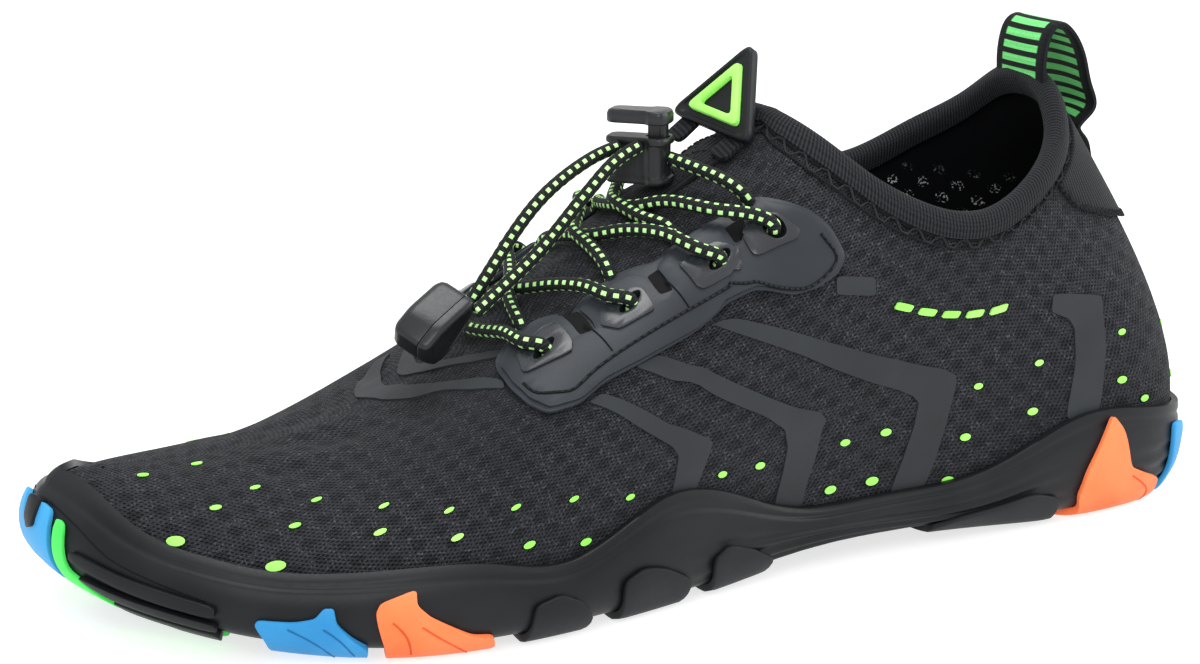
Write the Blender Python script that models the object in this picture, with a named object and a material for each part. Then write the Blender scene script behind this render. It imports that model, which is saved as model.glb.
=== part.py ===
"""Left water shoe: knit upper, moulded rubber cup sole with coloured lugs, and elastic lacing.

The frame has +X toward the toe, +Y toward the outer side and +Z up, in metres. The origin is on
the floor, under the middle of the heel. Both the upper and the sole come from the same stations,
numbered from the back of the heel along the outer side to the toe and back along the inner side.
"""
import math
from collections import namedtuple

import bmesh
import bpy
import numpy as np
from mathutils import Vector
from mathutils.geometry import delaunay_2d_cdt

# Overall sizes of the shoe
LENGTH = 0.280
BALL_WIDTH = 0.100
HEEL_HEIGHT = 0.102
COLLAR_HEIGHT = 0.076
INSTEP_HEIGHT = 0.0985
TOE_HEIGHT = 0.033
HEEL_REST = 0.0405

# Walls and clearances
GAP = 0.0003
LUG_GAP = 0.0005
WALL = 0.0020
INSOLE_THICKNESS = 0.0030
INSOLE_INSET = 0.14

# Sole
TOE_SPRING = 0.012
ARCH_RISE = 0.006
TREAD_DEPTH = 0.0025
BED_THICKNESS = 0.0060
SIDE_STEP = 0.0014
RIM_WALL = 0.0016
SOLE_FLARE = 0.0045
EDGE_INSET = 0.0050
CENTRE_INSET = 0.10
HEEL_PAD = (-0.020, 0.006, 0.012)
FOREFOOT_PAD = (0.124, 0.168, 0.020)

# Trim of the upper
BINDING_THICKNESS = 0.0009
BINDING_GAP = 0.0007
SHEET_GAP = 0.0006
PATCH_THICKNESS = 0.0008
LOOP_WIDTH = 0.019
LOOP_THICKNESS = 0.0015
EYESTAY_THICKNESS = 0.0013
EYELET_RADIUS = 0.0024
STRAP_THICKNESS = 0.0012

# Lace and its hardware
LACE_RADIUS = 0.0015
LACE_CLEARANCE = 0.0004
BADGE_SIDE = 0.0255
BADGE_RISE = 0.0040
BADGE_THICKNESS = 0.0030
EMBLEM_THICKNESS = 0.0008
LOCK_WIDTH = 0.0150
LOCK_DEPTH = 0.0090
LOCK_HEIGHT = 0.0105
BUTTON_GAP = 0.0030
BUTTON_HEIGHT = 0.0030
CLIP_DEPTH = 0.0100

# Stations of the sole, one row from the heel's back to the toe's tip: how far along the length,
# half widths as shares of the ball width, lift as shares of toe spring and arch rise, and how far
# up the upper's side the rim of the sole reaches.
Station = namedtuple("Station", "along outer inner spring arch_outer arch_inner rim_outer rim_inner")
STATIONS = [
    Station(0.000, 0.000, 0.000, 0.06, 0.0, 0.0, 0.15, 0.15),
    Station(0.018, 0.214, 0.205, 0.04, 0.0, 0.0, 0.16, 0.16),
    Station(0.075, 0.322, 0.315, 0.00, 0.0, 0.0, 0.21, 0.21),
    Station(0.158, 0.350, 0.340, 0.00, 0.0, 0.0, 0.22, 0.24),
    Station(0.249, 0.355, 0.335, 0.00, 0.3, 0.5, 0.09, 0.20),
    Station(0.339, 0.360, 0.315, 0.00, 0.5, 1.2, 0.05, 0.16),
    Station(0.419, 0.375, 0.310, 0.00, 0.4, 1.1, 0.06, 0.15),
    Station(0.499, 0.415, 0.335, 0.00, 0.1, 0.4, 0.145, 0.17),
    Station(0.579, 0.465, 0.385, 0.00, 0.0, 0.0, 0.165, 0.17),
    Station(0.654, 0.500, 0.440, 0.00, 0.0, 0.0, 0.09, 0.14),
    Station(0.729, 0.507, 0.480, 0.00, 0.0, 0.0, 0.13, 0.15),
    Station(0.803, 0.465, 0.495, 0.03, 0.0, 0.0, 0.165, 0.18),
    Station(0.872, 0.370, 0.475, 0.16, 0.0, 0.0, 0.185, 0.24),
    Station(0.923, 0.262, 0.435, 0.36, 0.0, 0.0, 0.23, 0.32),
    Station(0.972, 0.105, 0.335, 0.68, 0.0, 0.0, 0.38, 0.46),
    Station(1.000, -0.115, 0.115, 1.00, 0.0, 0.0, 0.68, 0.68),
]

# Top edge of the upper at the same stations: how far along, half width as a share of the ball
# width, height as shares of the four named heights, the inner side's extra height, and the
# handles of the profile that rises to it from the sole.
Crown = namedtuple("Crown", "along side heel collar instep toe lift low_out low_up top_on top_out top_down")
CROWNS = [
    Crown(0.132, 0.000, 1.00, 0.00, 0.00, 0.00, 0.00, 0.13, 0.30, -0.057, 0.00, 0.29),
    Crown(0.136, 0.105, 0.97, 0.00, 0.00, 0.00, 0.01, 0.13, 0.30, -0.047, 0.04, 0.29),
    Crown(0.152, 0.200, 0.55, 0.45, 0.00, 0.00, 0.02, 0.10, 0.31, -0.026, 0.06, 0.30),
    Crown(0.188, 0.270, 0.22, 0.79, 0.00, 0.00, 0.03, 0.04, 0.34, -0.010, 0.06, 0.30),
    Crown(0.238, 0.305, 0.00, 1.00, 0.00, 0.00, 0.03, 0.03, 0.34, 0.000, 0.04, 0.30),
    Crown(0.291, 0.300, 0.00, 0.95, 0.05, 0.00, 0.02, 0.03, 0.34, 0.005, 0.06, 0.28),
    Crown(0.341, 0.250, 0.00, 0.62, 0.38, 0.00, 0.01, 0.04, 0.34, 0.010, 0.12, 0.24),
    Crown(0.375, 0.150, 0.00, 0.22, 0.78, 0.00, 0.00, 0.05, 0.36, 0.025, 0.20, 0.18),
    Crown(0.395, 0.000, 0.00, 0.00, 1.00, 0.00, 0.00, 0.05, 0.38, 0.030, 0.26, 0.14),
    Crown(0.473, 0.000, 0.00, 0.00, 0.82, 0.16, 0.00, 0.04, 0.40, 0.010, 0.25, 0.08),
    Crown(0.563, 0.000, 0.00, 0.00, 0.60, 0.37, 0.00, 0.04, 0.42, 0.005, 0.22, 0.08),
    Crown(0.652, -0.005, 0.00, 0.00, 0.36, 0.59, 0.00, 0.05, 0.44, 0.005, 0.21, 0.07),
    Crown(0.741, -0.020, 0.00, 0.00, 0.165, 0.76, 0.00, 0.08, 0.46, 0.005, 0.20, 0.04),
    Crown(0.822, -0.050, 0.00, 0.00, 0.05, 0.93, 0.00, 0.12, 0.52, 0.010, 0.19, 0.01),
    Crown(0.892, -0.080, 0.00, 0.00, 0.00, 1.02, 0.00, 0.22, 0.62, 0.024, 0.15, 0.00),
    Crown(0.946, -0.110, 0.00, 0.00, 0.00, 1.02, 0.00, 0.30, 0.74, 0.042, 0.00, 0.00),
]
COLLAR_FRONT = 8
TOE = len(STATIONS) - 1
ROUND = 2 * TOE


# Smooth curves through hand-chosen rows
def smooth_curve(rows, closed=False):
    """Return the natural cubic through the rows, as a function of the row number."""
    rows = np.asarray(rows, float)
    count = len(rows)
    weights = np.zeros((count, count))
    slopes = np.zeros_like(rows)
    for i in range(count):
        before, after = (i - 1) % count, (i + 1) % count
        if closed or 0 < i < count - 1:
            weights[i, before] += 1
            weights[i, i] += 4
            weights[i, after] += 1
            slopes[i] = 3 * (rows[after] - rows[before])
        else:
            inward = 1 if i == 0 else -1
            weights[i, i] = 2
            weights[i, i + inward] = 1
            slopes[i] = 3 * inward * (rows[i + inward] - rows[i])
    tangents = np.linalg.solve(weights, slopes)

    def curve(number):
        number = np.atleast_1d(np.asarray(number, float))
        number = number % count if closed else np.clip(number, 0, count - 1)
        low = np.clip(np.floor(number).astype(int), 0, count - 1 if closed else count - 2)
        high = (low + 1) % count
        s = (number - low)[:, None]
        return (rows[low] * (2 * s**3 - 3 * s**2 + 1) + tangents[low] * (s**3 - 2 * s**2 + s)
                + rows[high] * (3 * s**2 - 2 * s**3) + tangents[high] * (s**3 - s**2))
    return curve


def both_sides(table, outer_values, inner_values):
    """Return a closed curve: the outer side's rows to the toe, then the inner side's back."""
    outer = [outer_values(row) for row in table]
    inner = [inner_values(row) for row in table]
    return smooth_curve(outer + inner[TOE - 1:0:-1], closed=True)


def along(share):
    return share * LENGTH - HEEL_REST


def crown_height(row):
    return (row.heel * HEEL_HEIGHT + row.collar * COLLAR_HEIGHT
            + row.instep * INSTEP_HEIGHT + row.toe * TOE_HEIGHT)


def crown_point(row, side):
    rise = row.lift * HEEL_HEIGHT if side < 0 else 0.0
    return along(row.along), side * row.side * BALL_WIDTH, crown_height(row) + rise


plan_outline = both_sides(
    STATIONS,
    lambda row: (along(row.along), row.outer * BALL_WIDTH),
    lambda row: (along(row.along), -row.inner * BALL_WIDTH))
lift_curve = both_sides(
    STATIONS,
    lambda row: (row.spring * TOE_SPRING + row.arch_outer * ARCH_RISE,),
    lambda row: (row.spring * TOE_SPRING + row.arch_inner * ARCH_RISE,))
rim_share = both_sides(STATIONS, lambda row: (row.rim_outer,), lambda row: (row.rim_inner,))
profile_handles = both_sides(
    CROWNS,
    lambda row: (row.low_out, row.low_up, row.top_on, row.top_out, row.top_down),
    lambda row: (row.low_out, row.low_up, row.top_on, -row.top_out, row.top_down))
collar_edge = smooth_curve(
    [crown_point(row, 1) for row in CROWNS[:COLLAR_FRONT + 1]]
    + [crown_point(row, -1) for row in CROWNS[COLLAR_FRONT - 1:0:-1]], closed=True)
ridge_line = smooth_curve(
    [(along(row.along), row.side * BALL_WIDTH, crown_height(row)) for row in CROWNS[COLLAR_FRONT:]])


def side_station(station):
    """Return a station's number counted from the heel, and which side it is on."""
    station = np.asarray(station, float) % ROUND
    return np.where(station <= TOE, station, ROUND - station), np.where(station <= TOE, 1.0, -1.0)


def sole_lift(station):
    """Return how far the sole stands off the floor, as a column."""
    return np.maximum(lift_curve(station), 0.0)


def plan_normal(station):
    step = plan_outline(station + 0.001) - plan_outline(station - 0.001)
    step /= np.linalg.norm(step, axis=1)[:, None]
    return np.stack([-step[:, 1], step[:, 0]], 1)


def foot_point(station, inset):
    """Return points on the sole's bed, inside the plan outline."""
    plan = plan_outline(station) - plan_normal(station) * inset
    height = sole_lift(station) + TREAD_DEPTH + BED_THICKNESS
    return np.concatenate([plan, height], 1)


def crown_line(station):
    """Return points on the collar's edge, or on the ridge over the instep and toe."""
    number, side = side_station(station)
    round_collar = np.where(side > 0, number, 2 * COLLAR_FRONT - number)
    collar = collar_edge(np.where(number < COLLAR_FRONT, round_collar, COLLAR_FRONT))
    ridge = ridge_line(np.maximum(number - COLLAR_FRONT, 0))
    return np.where((number < COLLAR_FRONT)[:, None], collar, ridge)


def upper_point(station, share):
    """Return points on the upper's outer face: share 0 at the sole, 1 at the collar or ridge."""
    station = np.atleast_1d(np.asarray(station, float))
    share = np.broadcast_to(np.asarray(share, float), station.shape)[:, None]
    foot = foot_point(station, SOLE_FLARE)
    top = crown_line(station)
    low_out, low_up, top_on, top_out, top_down = profile_handles(station).T
    rise = top[:, 2] - foot[:, 2]
    out = plan_normal(station)
    lower = foot + np.stack([out[:, 0] * low_out * rise, out[:, 1] * low_out * rise, low_up * rise], 1)
    upper = top + np.stack([top_on * LENGTH, top_out * BALL_WIDTH, -top_down * rise], 1)
    rest = 1 - share
    return rest**3 * foot + 3 * rest**2 * share * lower + 3 * rest * share**2 * upper + share**3 * top


def upper_normal(station, share):
    """Return the upper's outward normals, the same from both sides along the ridge."""
    station = np.atleast_1d(np.asarray(station, float))
    share = np.broadcast_to(np.asarray(share, float), station.shape)
    inner = np.clip(share, 0.01, 0.97)

    def one_side(number):
        across = upper_point(number + 0.01, inner) - upper_point(number - 0.01, inner)
        up = upper_point(number, inner + 0.01) - upper_point(number, inner - 0.01)
        normal = np.cross(up, across)
        return normal / np.linalg.norm(normal, axis=1)[:, None]
    normal = one_side(station)
    on_ridge = (share > 0.999) & (side_station(station)[0] > COLLAR_FRONT - 0.001)
    normal = np.where(on_ridge[:, None], normal + one_side(ROUND - station), normal)
    return normal / np.linalg.norm(normal, axis=1)[:, None]


def on_upper(station, share, offset):
    return upper_point(station, share) + upper_normal(station, share) * offset


# Surface of the sole, from its rim down the side and in under the foot
def centre_point(station, lift):
    """Return points on the sole's centre line, squeezed in from the heel and the toe."""
    share = (plan_outline(station)[:, 0] + HEEL_REST) / LENGTH
    place = along(CENTRE_INSET + (1 - 2 * CENTRE_INSET) * share)
    numbers = np.linspace(0, TOE, 20 * TOE)
    number = np.interp(place, plan_outline(numbers)[:, 0], numbers)
    outer, inner = plan_outline(number), plan_outline(ROUND - number)
    height = (sole_lift(number) + sole_lift(ROUND - number))[:, 0] / 2 + lift
    return np.stack([place, (outer[:, 1] + inner[:, 1]) / 2, height], 1)


def sole_point(station, around):
    """Return points on the sole's outside: 0 at the rim, 1 at the bottom edge, 2 in the middle."""
    station = np.atleast_1d(np.asarray(station, float))
    around = np.broadcast_to(np.asarray(around, float), station.shape)
    rim = on_upper(station, rim_share(station)[:, 0], GAP + RIM_WALL)
    plan, out = plan_outline(station), plan_normal(station)
    floor = sole_lift(station)[:, 0] + TREAD_DEPTH
    edge = np.column_stack([plan - out * EDGE_INSET, floor])
    rise = rim[:, 2] - floor
    rim_inset = np.sum((rim[:, :2] - plan) * out, 1)
    belly = plan + out * ((EDGE_INSET - rim_inset) / 6)[:, None]
    upper = np.column_stack([belly, floor + 0.75 * rise])
    lower = np.column_stack([belly, floor + 0.12 * rise])
    s = np.clip(around, 0, 1)[:, None]
    side = (1 - s)**3 * rim + 3 * (1 - s)**2 * s * upper + 3 * (1 - s) * s**2 * lower + s**3 * edge
    inward = np.clip(around - 1, 0, 1)[:, None]
    return np.where(inward > 0, edge + inward * (centre_point(station, TREAD_DEPTH) - edge), side)


def on_sole(station, around, offset):
    station = np.atleast_1d(np.asarray(station, float))
    around = np.broadcast_to(np.asarray(around, float), station.shape)
    inner = np.clip(around, 0.02, 1.98)
    across = sole_point(station + 0.01, inner) - sole_point(station - 0.01, inner)
    down = sole_point(station, inner + 0.01) - sole_point(station, inner - 0.01)
    normal = np.cross(across, down)
    normal /= np.linalg.norm(normal, axis=1)[:, None]
    return sole_point(station, around) + normal * offset


# Finishes, as a colour and a roughness
FINISHES = {
    "knit": ("#2A2C30", 0.90),
    "moulded_rubber": ("#303337", 0.55),
    "film": ("#3B3F45", 0.45),
    "webbing": ("#6FDC6F", 0.80),
    "rib_tape": ("#24262A", 0.90),
    "foam": ("#1C1D20", 0.90),
    "lace": ("#33483A", 0.80),
    "plastic": ("#1D1E20", 0.35),
    "blue_rubber": ("#3A9BD6", 0.55),
    "orange_rubber": ("#FF7F4A", 0.55),
    "green_rubber": ("#4BE35C", 0.55),
}


def to_linear(code):
    values = [int(code[i:i + 2], 16) / 255 for i in (1, 3, 5)]
    return [v / 12.92 if v <= 0.04045 else ((v + 0.055) / 1.055)**2.4 for v in values] + [1.0]


def finish(name, piece):
    """Return a Principled material of a piece's own."""
    code, roughness = FINISHES[name]
    material = bpy.data.materials.new(piece)
    material.use_nodes = True
    shader = material.node_tree.nodes["Principled BSDF"]
    shader.inputs["Base Color"].default_value = to_linear(code)
    shader.inputs["Roughness"].default_value = roughness
    material.diffuse_color = to_linear(code)
    return material


def add_object(name, shape, finish_name):
    """Make a smooth-shaded object with its own material from a bmesh, and free the bmesh."""
    bmesh.ops.remove_doubles(shape, verts=shape.verts, dist=0.00002)
    bmesh.ops.recalc_face_normals(shape, faces=shape.faces)
    mesh = bpy.data.meshes.new(name)
    shape.to_mesh(mesh)
    shape.free()
    mesh.shade_smooth()
    mesh.set_sharp_from_angle(angle=math.radians(40))
    mesh.materials.append(finish(finish_name, name))
    piece = bpy.data.objects.new(name, mesh)
    bpy.context.scene.collection.objects.link(piece)
    return piece


def bmesh_from(points, faces):
    shape = bmesh.new()
    vertices = [shape.verts.new(Vector(point)) for point in points]
    for face in faces:
        shape.faces.new([vertices[i] for i in face])
    return shape


def ring_faces(ring_count, columns, keep=lambda ring, column: True, flipped=()):
    """Return triangles between the rings of a stack, split along one diagonal, or the other."""
    faces = []
    for ring in range(ring_count - 1):
        for column in range(columns):
            if not keep(ring, column):
                continue
            beside = (column + 1) % columns
            low, low_beside = ring * columns + column, ring * columns + beside
            high, high_beside = low + columns, low_beside + columns
            if ring in flipped:
                faces += [(low, low_beside, high), (low_beside, high_beside, high)]
            else:
                faces += [(low, low_beside, high_beside), (low, high_beside, high)]
    return faces


# Upper, sole and insole
COLUMNS = 2 * ROUND
SOLE_LEVELS = (2.0, 1.5, 1.0, 0.85, 0.6, 0.35, 0.15, 0.0)
BELOW_RIM = (0.0, 0.5)
ABOVE_RIM = (0.0, 0.12, 0.27, 0.43, 0.60, 0.78, 1.0)


def upper_rings(stations):
    """Return the shares of the upper's rings: inside the sole first, then up from its rim."""
    rim = rim_share(stations)[:, 0]
    return [rim * share for share in BELOW_RIM] + [rim + (1 - rim) * share for share in ABOVE_RIM]


def add_upper():
    stations = np.arange(COLUMNS) * ROUND / COLUMNS
    shares = upper_rings(stations)
    outside = [on_upper(stations, share, 0.0) for share in shares]
    inside = [on_upper(stations, share, -WALL) for share in reversed(shares)]
    rings = outside + inside + outside[:1]
    top = len(shares) - 1
    collar = 2 * COLLAR_FRONT

    def keep(ring, column):
        return ring != top or column < collar or column >= COLUMNS - collar
    shape = bmesh_from(np.concatenate(rings), ring_faces(len(rings), COLUMNS, keep))
    return add_object("upper", shape, "knit")


def add_outsole():
    stations = np.arange(COLUMNS) * ROUND / COLUMNS
    inner_wall = upper_rings(stations)[len(BELOW_RIM):0:-1]
    bed = on_upper(stations, 0.0, GAP) - np.array([0.0, 0.0, GAP])
    middle = centre_point(stations, TREAD_DEPTH + BED_THICKNESS - GAP)
    rings = [sole_point(stations, around) for around in SOLE_LEVELS]
    start = len(rings)
    rings += [on_upper(stations, share, GAP) for share in inner_wall]
    rings += [bed, (bed + middle) / 2, middle]
    like_upper = range(start, start + len(inner_wall))
    shape = bmesh_from(np.concatenate(rings), ring_faces(len(rings), COLUMNS, flipped=like_upper))
    return add_object("outsole", shape, "moulded_rubber")


def add_insole():
    stations = np.arange(COLUMNS) * ROUND / COLUMNS
    bed = on_upper(stations, 0.0, GAP)
    middle = centre_point(stations, TREAD_DEPTH + BED_THICKNESS)
    edge = bed + INSOLE_INSET * (middle - bed)
    half = (bed + middle) / 2
    up = np.array([0.0, 0.0, INSOLE_THICKNESS])
    clear = np.array([0.0, 0.0, 2 * GAP])
    rings = [middle + up, half + up, edge + up, edge + clear, half + clear, middle + clear]
    shape = bmesh_from(np.concatenate(rings), ring_faces(len(rings), COLUMNS))
    return add_object("insole", shape, "foam")


# Sheets that follow the upper or the sole
def rounded(corners, softness=0.3, steps=2):
    """Return an outline with each corner replaced by a short curve."""
    corners = np.asarray(corners, float)
    points = []
    for i, corner in enumerate(corners):
        start = corner + (corners[i - 1] - corner) * softness
        end = corner + (corners[(i + 1) % len(corners)] - corner) * softness
        for s in np.linspace(0, 1, steps + 1):
            points.append((1 - s)**2 * start + 2 * (1 - s) * s * corner + s**2 * end)
    return np.array(points)


def split_long(points, longest):
    """Add points to an outline's long edges."""
    result = []
    for i, point in enumerate(points):
        after = points[(i + 1) % len(points)]
        count = max(1, math.ceil(np.linalg.norm(after - point) / longest))
        result += [point + (after - point) * k / count for k in range(count)]
    return np.array(result)


def split_at(points, level):
    """Add a point wherever an outline crosses a level of its second coordinate."""
    result = []
    for i, point in enumerate(points):
        after = points[(i + 1) % len(points)]
        result.append(point)
        if (point[1] - level) * (after[1] - level) < -1e-9:
            share = (level - point[1]) / (after[1] - point[1])
            result.append(np.array([point[0] + (after[0] - point[0]) * share, level]))
    return np.array(result)


def counterclockwise(loop):
    after = np.roll(loop, -1, axis=0)
    area = np.sum(loop[:, 0] * after[:, 1] - loop[:, 1] * after[:, 0])
    return loop if area > 0 else loop[::-1]


def inside_outline(points, outline, margin):
    """Return the points inside an outline and away from its edge."""
    kept = []
    for point in points:
        after = np.roll(outline, -1, axis=0)
        crosses = (outline[:, 1] > point[1]) != (after[:, 1] > point[1])
        slope = (after[:, 0] - outline[:, 0]) / np.where(crosses, after[:, 1] - outline[:, 1], 1.0)
        hits = crosses & (point[0] < outline[:, 0] + (point[1] - outline[:, 1]) * slope)
        edge = after - outline
        share = np.clip(np.sum((point - outline) * edge, 1) / np.sum(edge * edge, 1), 0, 1)
        away = np.linalg.norm(outline + edge * share[:, None] - point, axis=1).min()
        if np.sum(hits) % 2 == 1 and away > margin:
            kept.append(point)
    return kept


def fill_outline(loops, levels):
    """Return points and triangles that fill the first loop around the others."""
    low, high = np.floor(loops[0].min(0)), np.ceil(loops[0].max(0))
    rows = np.arange(low[1], high[1], 1.0) if levels is None else levels
    lattice = [np.array([u, v]) for u in np.arange(low[0], high[0], 0.9) for v in rows]
    filling = inside_outline(lattice, loops[0], 0.35)
    for loop in loops[1:]:
        middle, radius = loop.mean(0), np.linalg.norm(loop - loop.mean(0), axis=1).max()
        filling = [point for point in filling if np.linalg.norm(point - middle) > radius + 0.3]
    points = [point for loop in loops for point in loop] + filling
    ends = np.cumsum([len(loop) for loop in loops])
    faces = [list(range(end - len(loop), end)) for loop, end in zip(loops, ends)]
    edges = []
    for level in () if levels is None else levels:
        row = sorted((point[0], i) for i, point in enumerate(points) if abs(point[1] - level) < 1e-6)
        edges += [(first[1], second[1]) for first, second in zip(row, row[1:])]
    flat, _, triangles, _, _, origins = delaunay_2d_cdt([Vector(p) for p in points], edges, faces, 1, 1e-6)
    triangles = [tuple(triangle) for triangle, origin in zip(triangles, origins) if origin == [0]]
    return np.array([tuple(point) for point in flat]), triangles


def add_sheet(name, surface, outline, finish_name, pitch, inner, outer, holes=(), levels=None):
    """Make a closed sheet over a surface, from an outline given in its two coordinates."""
    pitch = np.array(pitch)
    loops = [split_long(counterclockwise(np.asarray(loop) / pitch), 1.0) for loop in (outline, *holes)]
    if levels is not None:
        levels = [level / pitch[1] for level in levels]
        for level in levels:
            loops = [split_at(loop, level) for loop in loops]
    flat, triangles = fill_outline(loops, levels)
    places = flat * pitch
    thickness = outer(places[:, 1]) if callable(outer) else np.full(len(places), outer)
    points = list(surface(places[:, 0], places[:, 1], np.full((len(places), 1), inner)))
    points += list(surface(places[:, 0], places[:, 1], thickness[:, None]))
    count = len(places)
    edges = {(t[k], t[(k + 1) % 3]) for t in triangles for k in range(3)}
    rim = sorted((a, b) for a, b in edges if (b, a) not in edges)
    faces = triangles + [tuple(i + count for i in reversed(t)) for t in triangles]
    faces += [(b, a, a + count, b + count) for a, b in rim]
    return add_object(name, bmesh_from(points, faces), finish_name)


# Lugs of the sole, as outlines of station and way round the side: 0 at the rim, 1 at the bottom
# edge and 2 under the middle of the foot
LUG_PITCH = (0.40, 0.26)
LUGS = {
    "fore_blue": ("blue_rubber", [
        (12.27, 0.54), (11.84, 0.52), (11.65, 0.47), (11.57, 0.36), (11.48, 0.36), (11.44, 0.52),
        (11.30, 0.68), (11.14, 0.84), (11.22, 1.32), (12.05, 1.36), (12.15, 0.76)]),
    "fore_orange": ("orange_rubber", [
        (11.10, 0.42), (11.06, 0.32), (10.74, 0.22), (10.72, 0.36), (10.58, 0.48), (10.36, 0.60),
        (10.12, 0.74), (9.90, 0.78), (9.84, 0.96), (10.00, 1.32), (10.98, 1.36), (10.98, 0.86)]),
    "fore_black": ("moulded_rubber", [
        (9.50, 0.46), (9.20, 0.36), (8.96, 0.50), (8.74, 0.80), (8.86, 1.30), (9.58, 1.34), (9.50, 0.90)]),
    "ball_black": ("moulded_rubber", [
        (8.45, 0.52), (8.20, 0.48), (7.86, 0.58), (7.50, 0.74), (7.60, 1.30), (8.42, 1.34), (8.36, 0.92)]),
    "waist_black": ("moulded_rubber", [
        (7.30, 0.60), (7.12, 0.48), (6.80, 0.54), (6.48, 0.72), (6.58, 1.26), (7.22, 1.30), (7.20, 0.92)]),
    "arch_black": ("moulded_rubber", [
        (4.56, 0.86), (4.30, 0.66), (3.90, 0.60), (3.50, 0.56), (3.16, 0.70), (3.20, 1.26), (4.48, 1.30)]),
    "heel_orange": ("orange_rubber", [
        (2.56, 0.06), (2.44, 0.22), (2.34, 0.54), (2.10, 0.62), (1.78, 0.72), (1.66, 0.96),
        (1.76, 1.34), (2.96, 1.36), (2.88, 0.92), (2.96, 0.72), (2.90, 0.50), (2.68, 0.22)]),
    "heel_blue": ("blue_rubber", [
        (1.58, 0.22), (1.26, 0.22), (1.06, 0.46), (0.98, 0.72), (1.16, 1.22), (1.56, 1.24), (1.50, 0.84)]),
    "toe_green": ("green_rubber", [
        (14.56, 0.32), (14.44, 0.34), (14.40, 0.74), (14.22, 0.82), (14.02, 0.92), (13.80, 1.06),
        (12.72, 1.10), (12.74, 1.26), (14.20, 1.36), (14.52, 1.02)]),
    "toe_rib_low": ("moulded_rubber", [
        (13.98, 0.86), (13.40, 0.84), (12.72, 0.84), (12.72, 1.02), (13.74, 1.00)]),
    "toe_rib_middle": ("moulded_rubber", [
        (14.32, 0.72), (13.40, 0.67), (12.72, 0.68), (12.72, 0.80), (13.40, 0.80), (14.04, 0.82)]),
    "toe_rib_high": ("moulded_rubber", [
        (14.34, 0.50), (13.40, 0.45), (12.72, 0.47), (12.72, 0.60), (13.40, 0.60), (14.34, 0.60)]),
}
TOE_PAD = [
    (14.62, 0.30), (14.82, 0.28), (14.95, 0.46), (15.05, 0.46), (15.18, 0.28), (15.38, 0.30),
    (15.40, 1.00), (15.34, 1.32), (14.66, 1.32), (14.60, 1.00)]


def lug_thickness(around):
    return SIDE_STEP + (TREAD_DEPTH - SIDE_STEP) * np.clip((around - 0.8) / 0.3, 0, 1)


def add_lugs():
    for name, (finish_name, corners) in LUGS.items():
        outer = rounded(corners, 0.25, 1)
        inner = outer[::-1] * (-1, 1) + (ROUND, 0)
        for side, outline in (("outer", outer), ("inner", inner)):
            add_sheet(f"lug_{name}_{side}", on_sole, outline, finish_name, LUG_PITCH,
                      LUG_GAP, lug_thickness, levels=SOLE_LEVELS)
    add_sheet("lug_toe_blue", on_sole, rounded(TOE_PAD, 0.25, 1), "blue_rubber", LUG_PITCH,
              LUG_GAP, lug_thickness, levels=SOLE_LEVELS)


def add_pad(name, size):
    """Make a flat pad of the tread, under the middle of the foot."""
    start, end, half_width = size
    corners = [(start, -half_width), (end, -half_width), (end, half_width), (start, half_width)]
    outline = rounded(corners, 0.15)

    def place(across, along_pad, up):
        return np.stack([across, along_pad, up], 1)
    return add_stack(name, outline, place, [(0.0, 1.0, 0), (TREAD_DEPTH - GAP, 1.0, 0)], "moulded_rubber")


# Stacks of one outline, and bands made from a grid of points
def add_stack(name, outline, place, rows, finish_name, centre=(0.0, 0.0), closed=False):
    """Make a solid from rows of level, scale and share of the way to a second centre."""
    outline = np.asarray(outline, float)
    rings = []
    for level, scale, shift in rows:
        flat = outline * scale + np.array(centre) * shift
        rings.append(place(flat[:, 0], flat[:, 1], np.full(len(flat), level)))
    count = len(outline)
    faces = ring_faces(len(rings) + (1 if closed else 0), count)
    if closed:
        faces = [tuple(i % (len(rings) * count) for i in face) for face in faces]
    else:
        last = (len(rings) - 1) * count
        faces += [tuple(reversed(range(count))), tuple(last + i for i in range(count))]
    return add_object(name, bmesh_from(np.concatenate(rings), faces), finish_name)


def add_band(name, grid, thickness, finish_name):
    """Make a closed band of even thickness about a grid of points."""
    grid = np.asarray(grid, float)
    down, across = np.gradient(grid, axis=0), np.gradient(grid, axis=1)
    normal = np.cross(down, across)
    normal /= np.linalg.norm(normal, axis=2)[:, :, None]
    rows, columns = grid.shape[:2]
    layer = np.arange(rows * columns).reshape(rows, columns)
    faces = []
    for top, turn in ((0, 1), (rows * columns, -1)):
        for quad in zip(layer[:-1, :-1].flat, layer[1:, :-1].flat, layer[1:, 1:].flat, layer[:-1, 1:].flat):
            a, b, c, d = (int(i) + top for i in quad)
            faces += [(a, b, c)[::turn], (a, c, d)[::turn]]
    rim = list(layer[0, :]) + list(layer[1:, -1]) + list(layer[-1, -2::-1]) + list(layer[-2:0:-1, 0])
    for first, second in zip(rim, rim[1:] + rim[:1]):
        a, b = int(first), int(second)
        faces += [(a, b, b + rows * columns), (a, b + rows * columns, a + rows * columns)]
    points = np.concatenate([(grid + normal * side * thickness / 2).reshape(-1, 3) for side in (1, -1)])
    return add_object(name, bmesh_from(points, faces), finish_name)


# Trim of the upper: binding round the collar, heel patch, pull loop, eyestays and strap
def over_ridge(station, across, offset):
    """Return points across the instep: 0 at the outer sole, 1 on the ridge, 2 at the inner sole."""
    station = np.atleast_1d(np.asarray(station, float))
    across = np.broadcast_to(np.asarray(across, float), station.shape)
    outer = across <= 1
    return on_upper(np.where(outer, station, ROUND - station), np.where(outer, across, 2 - across), offset)


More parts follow.
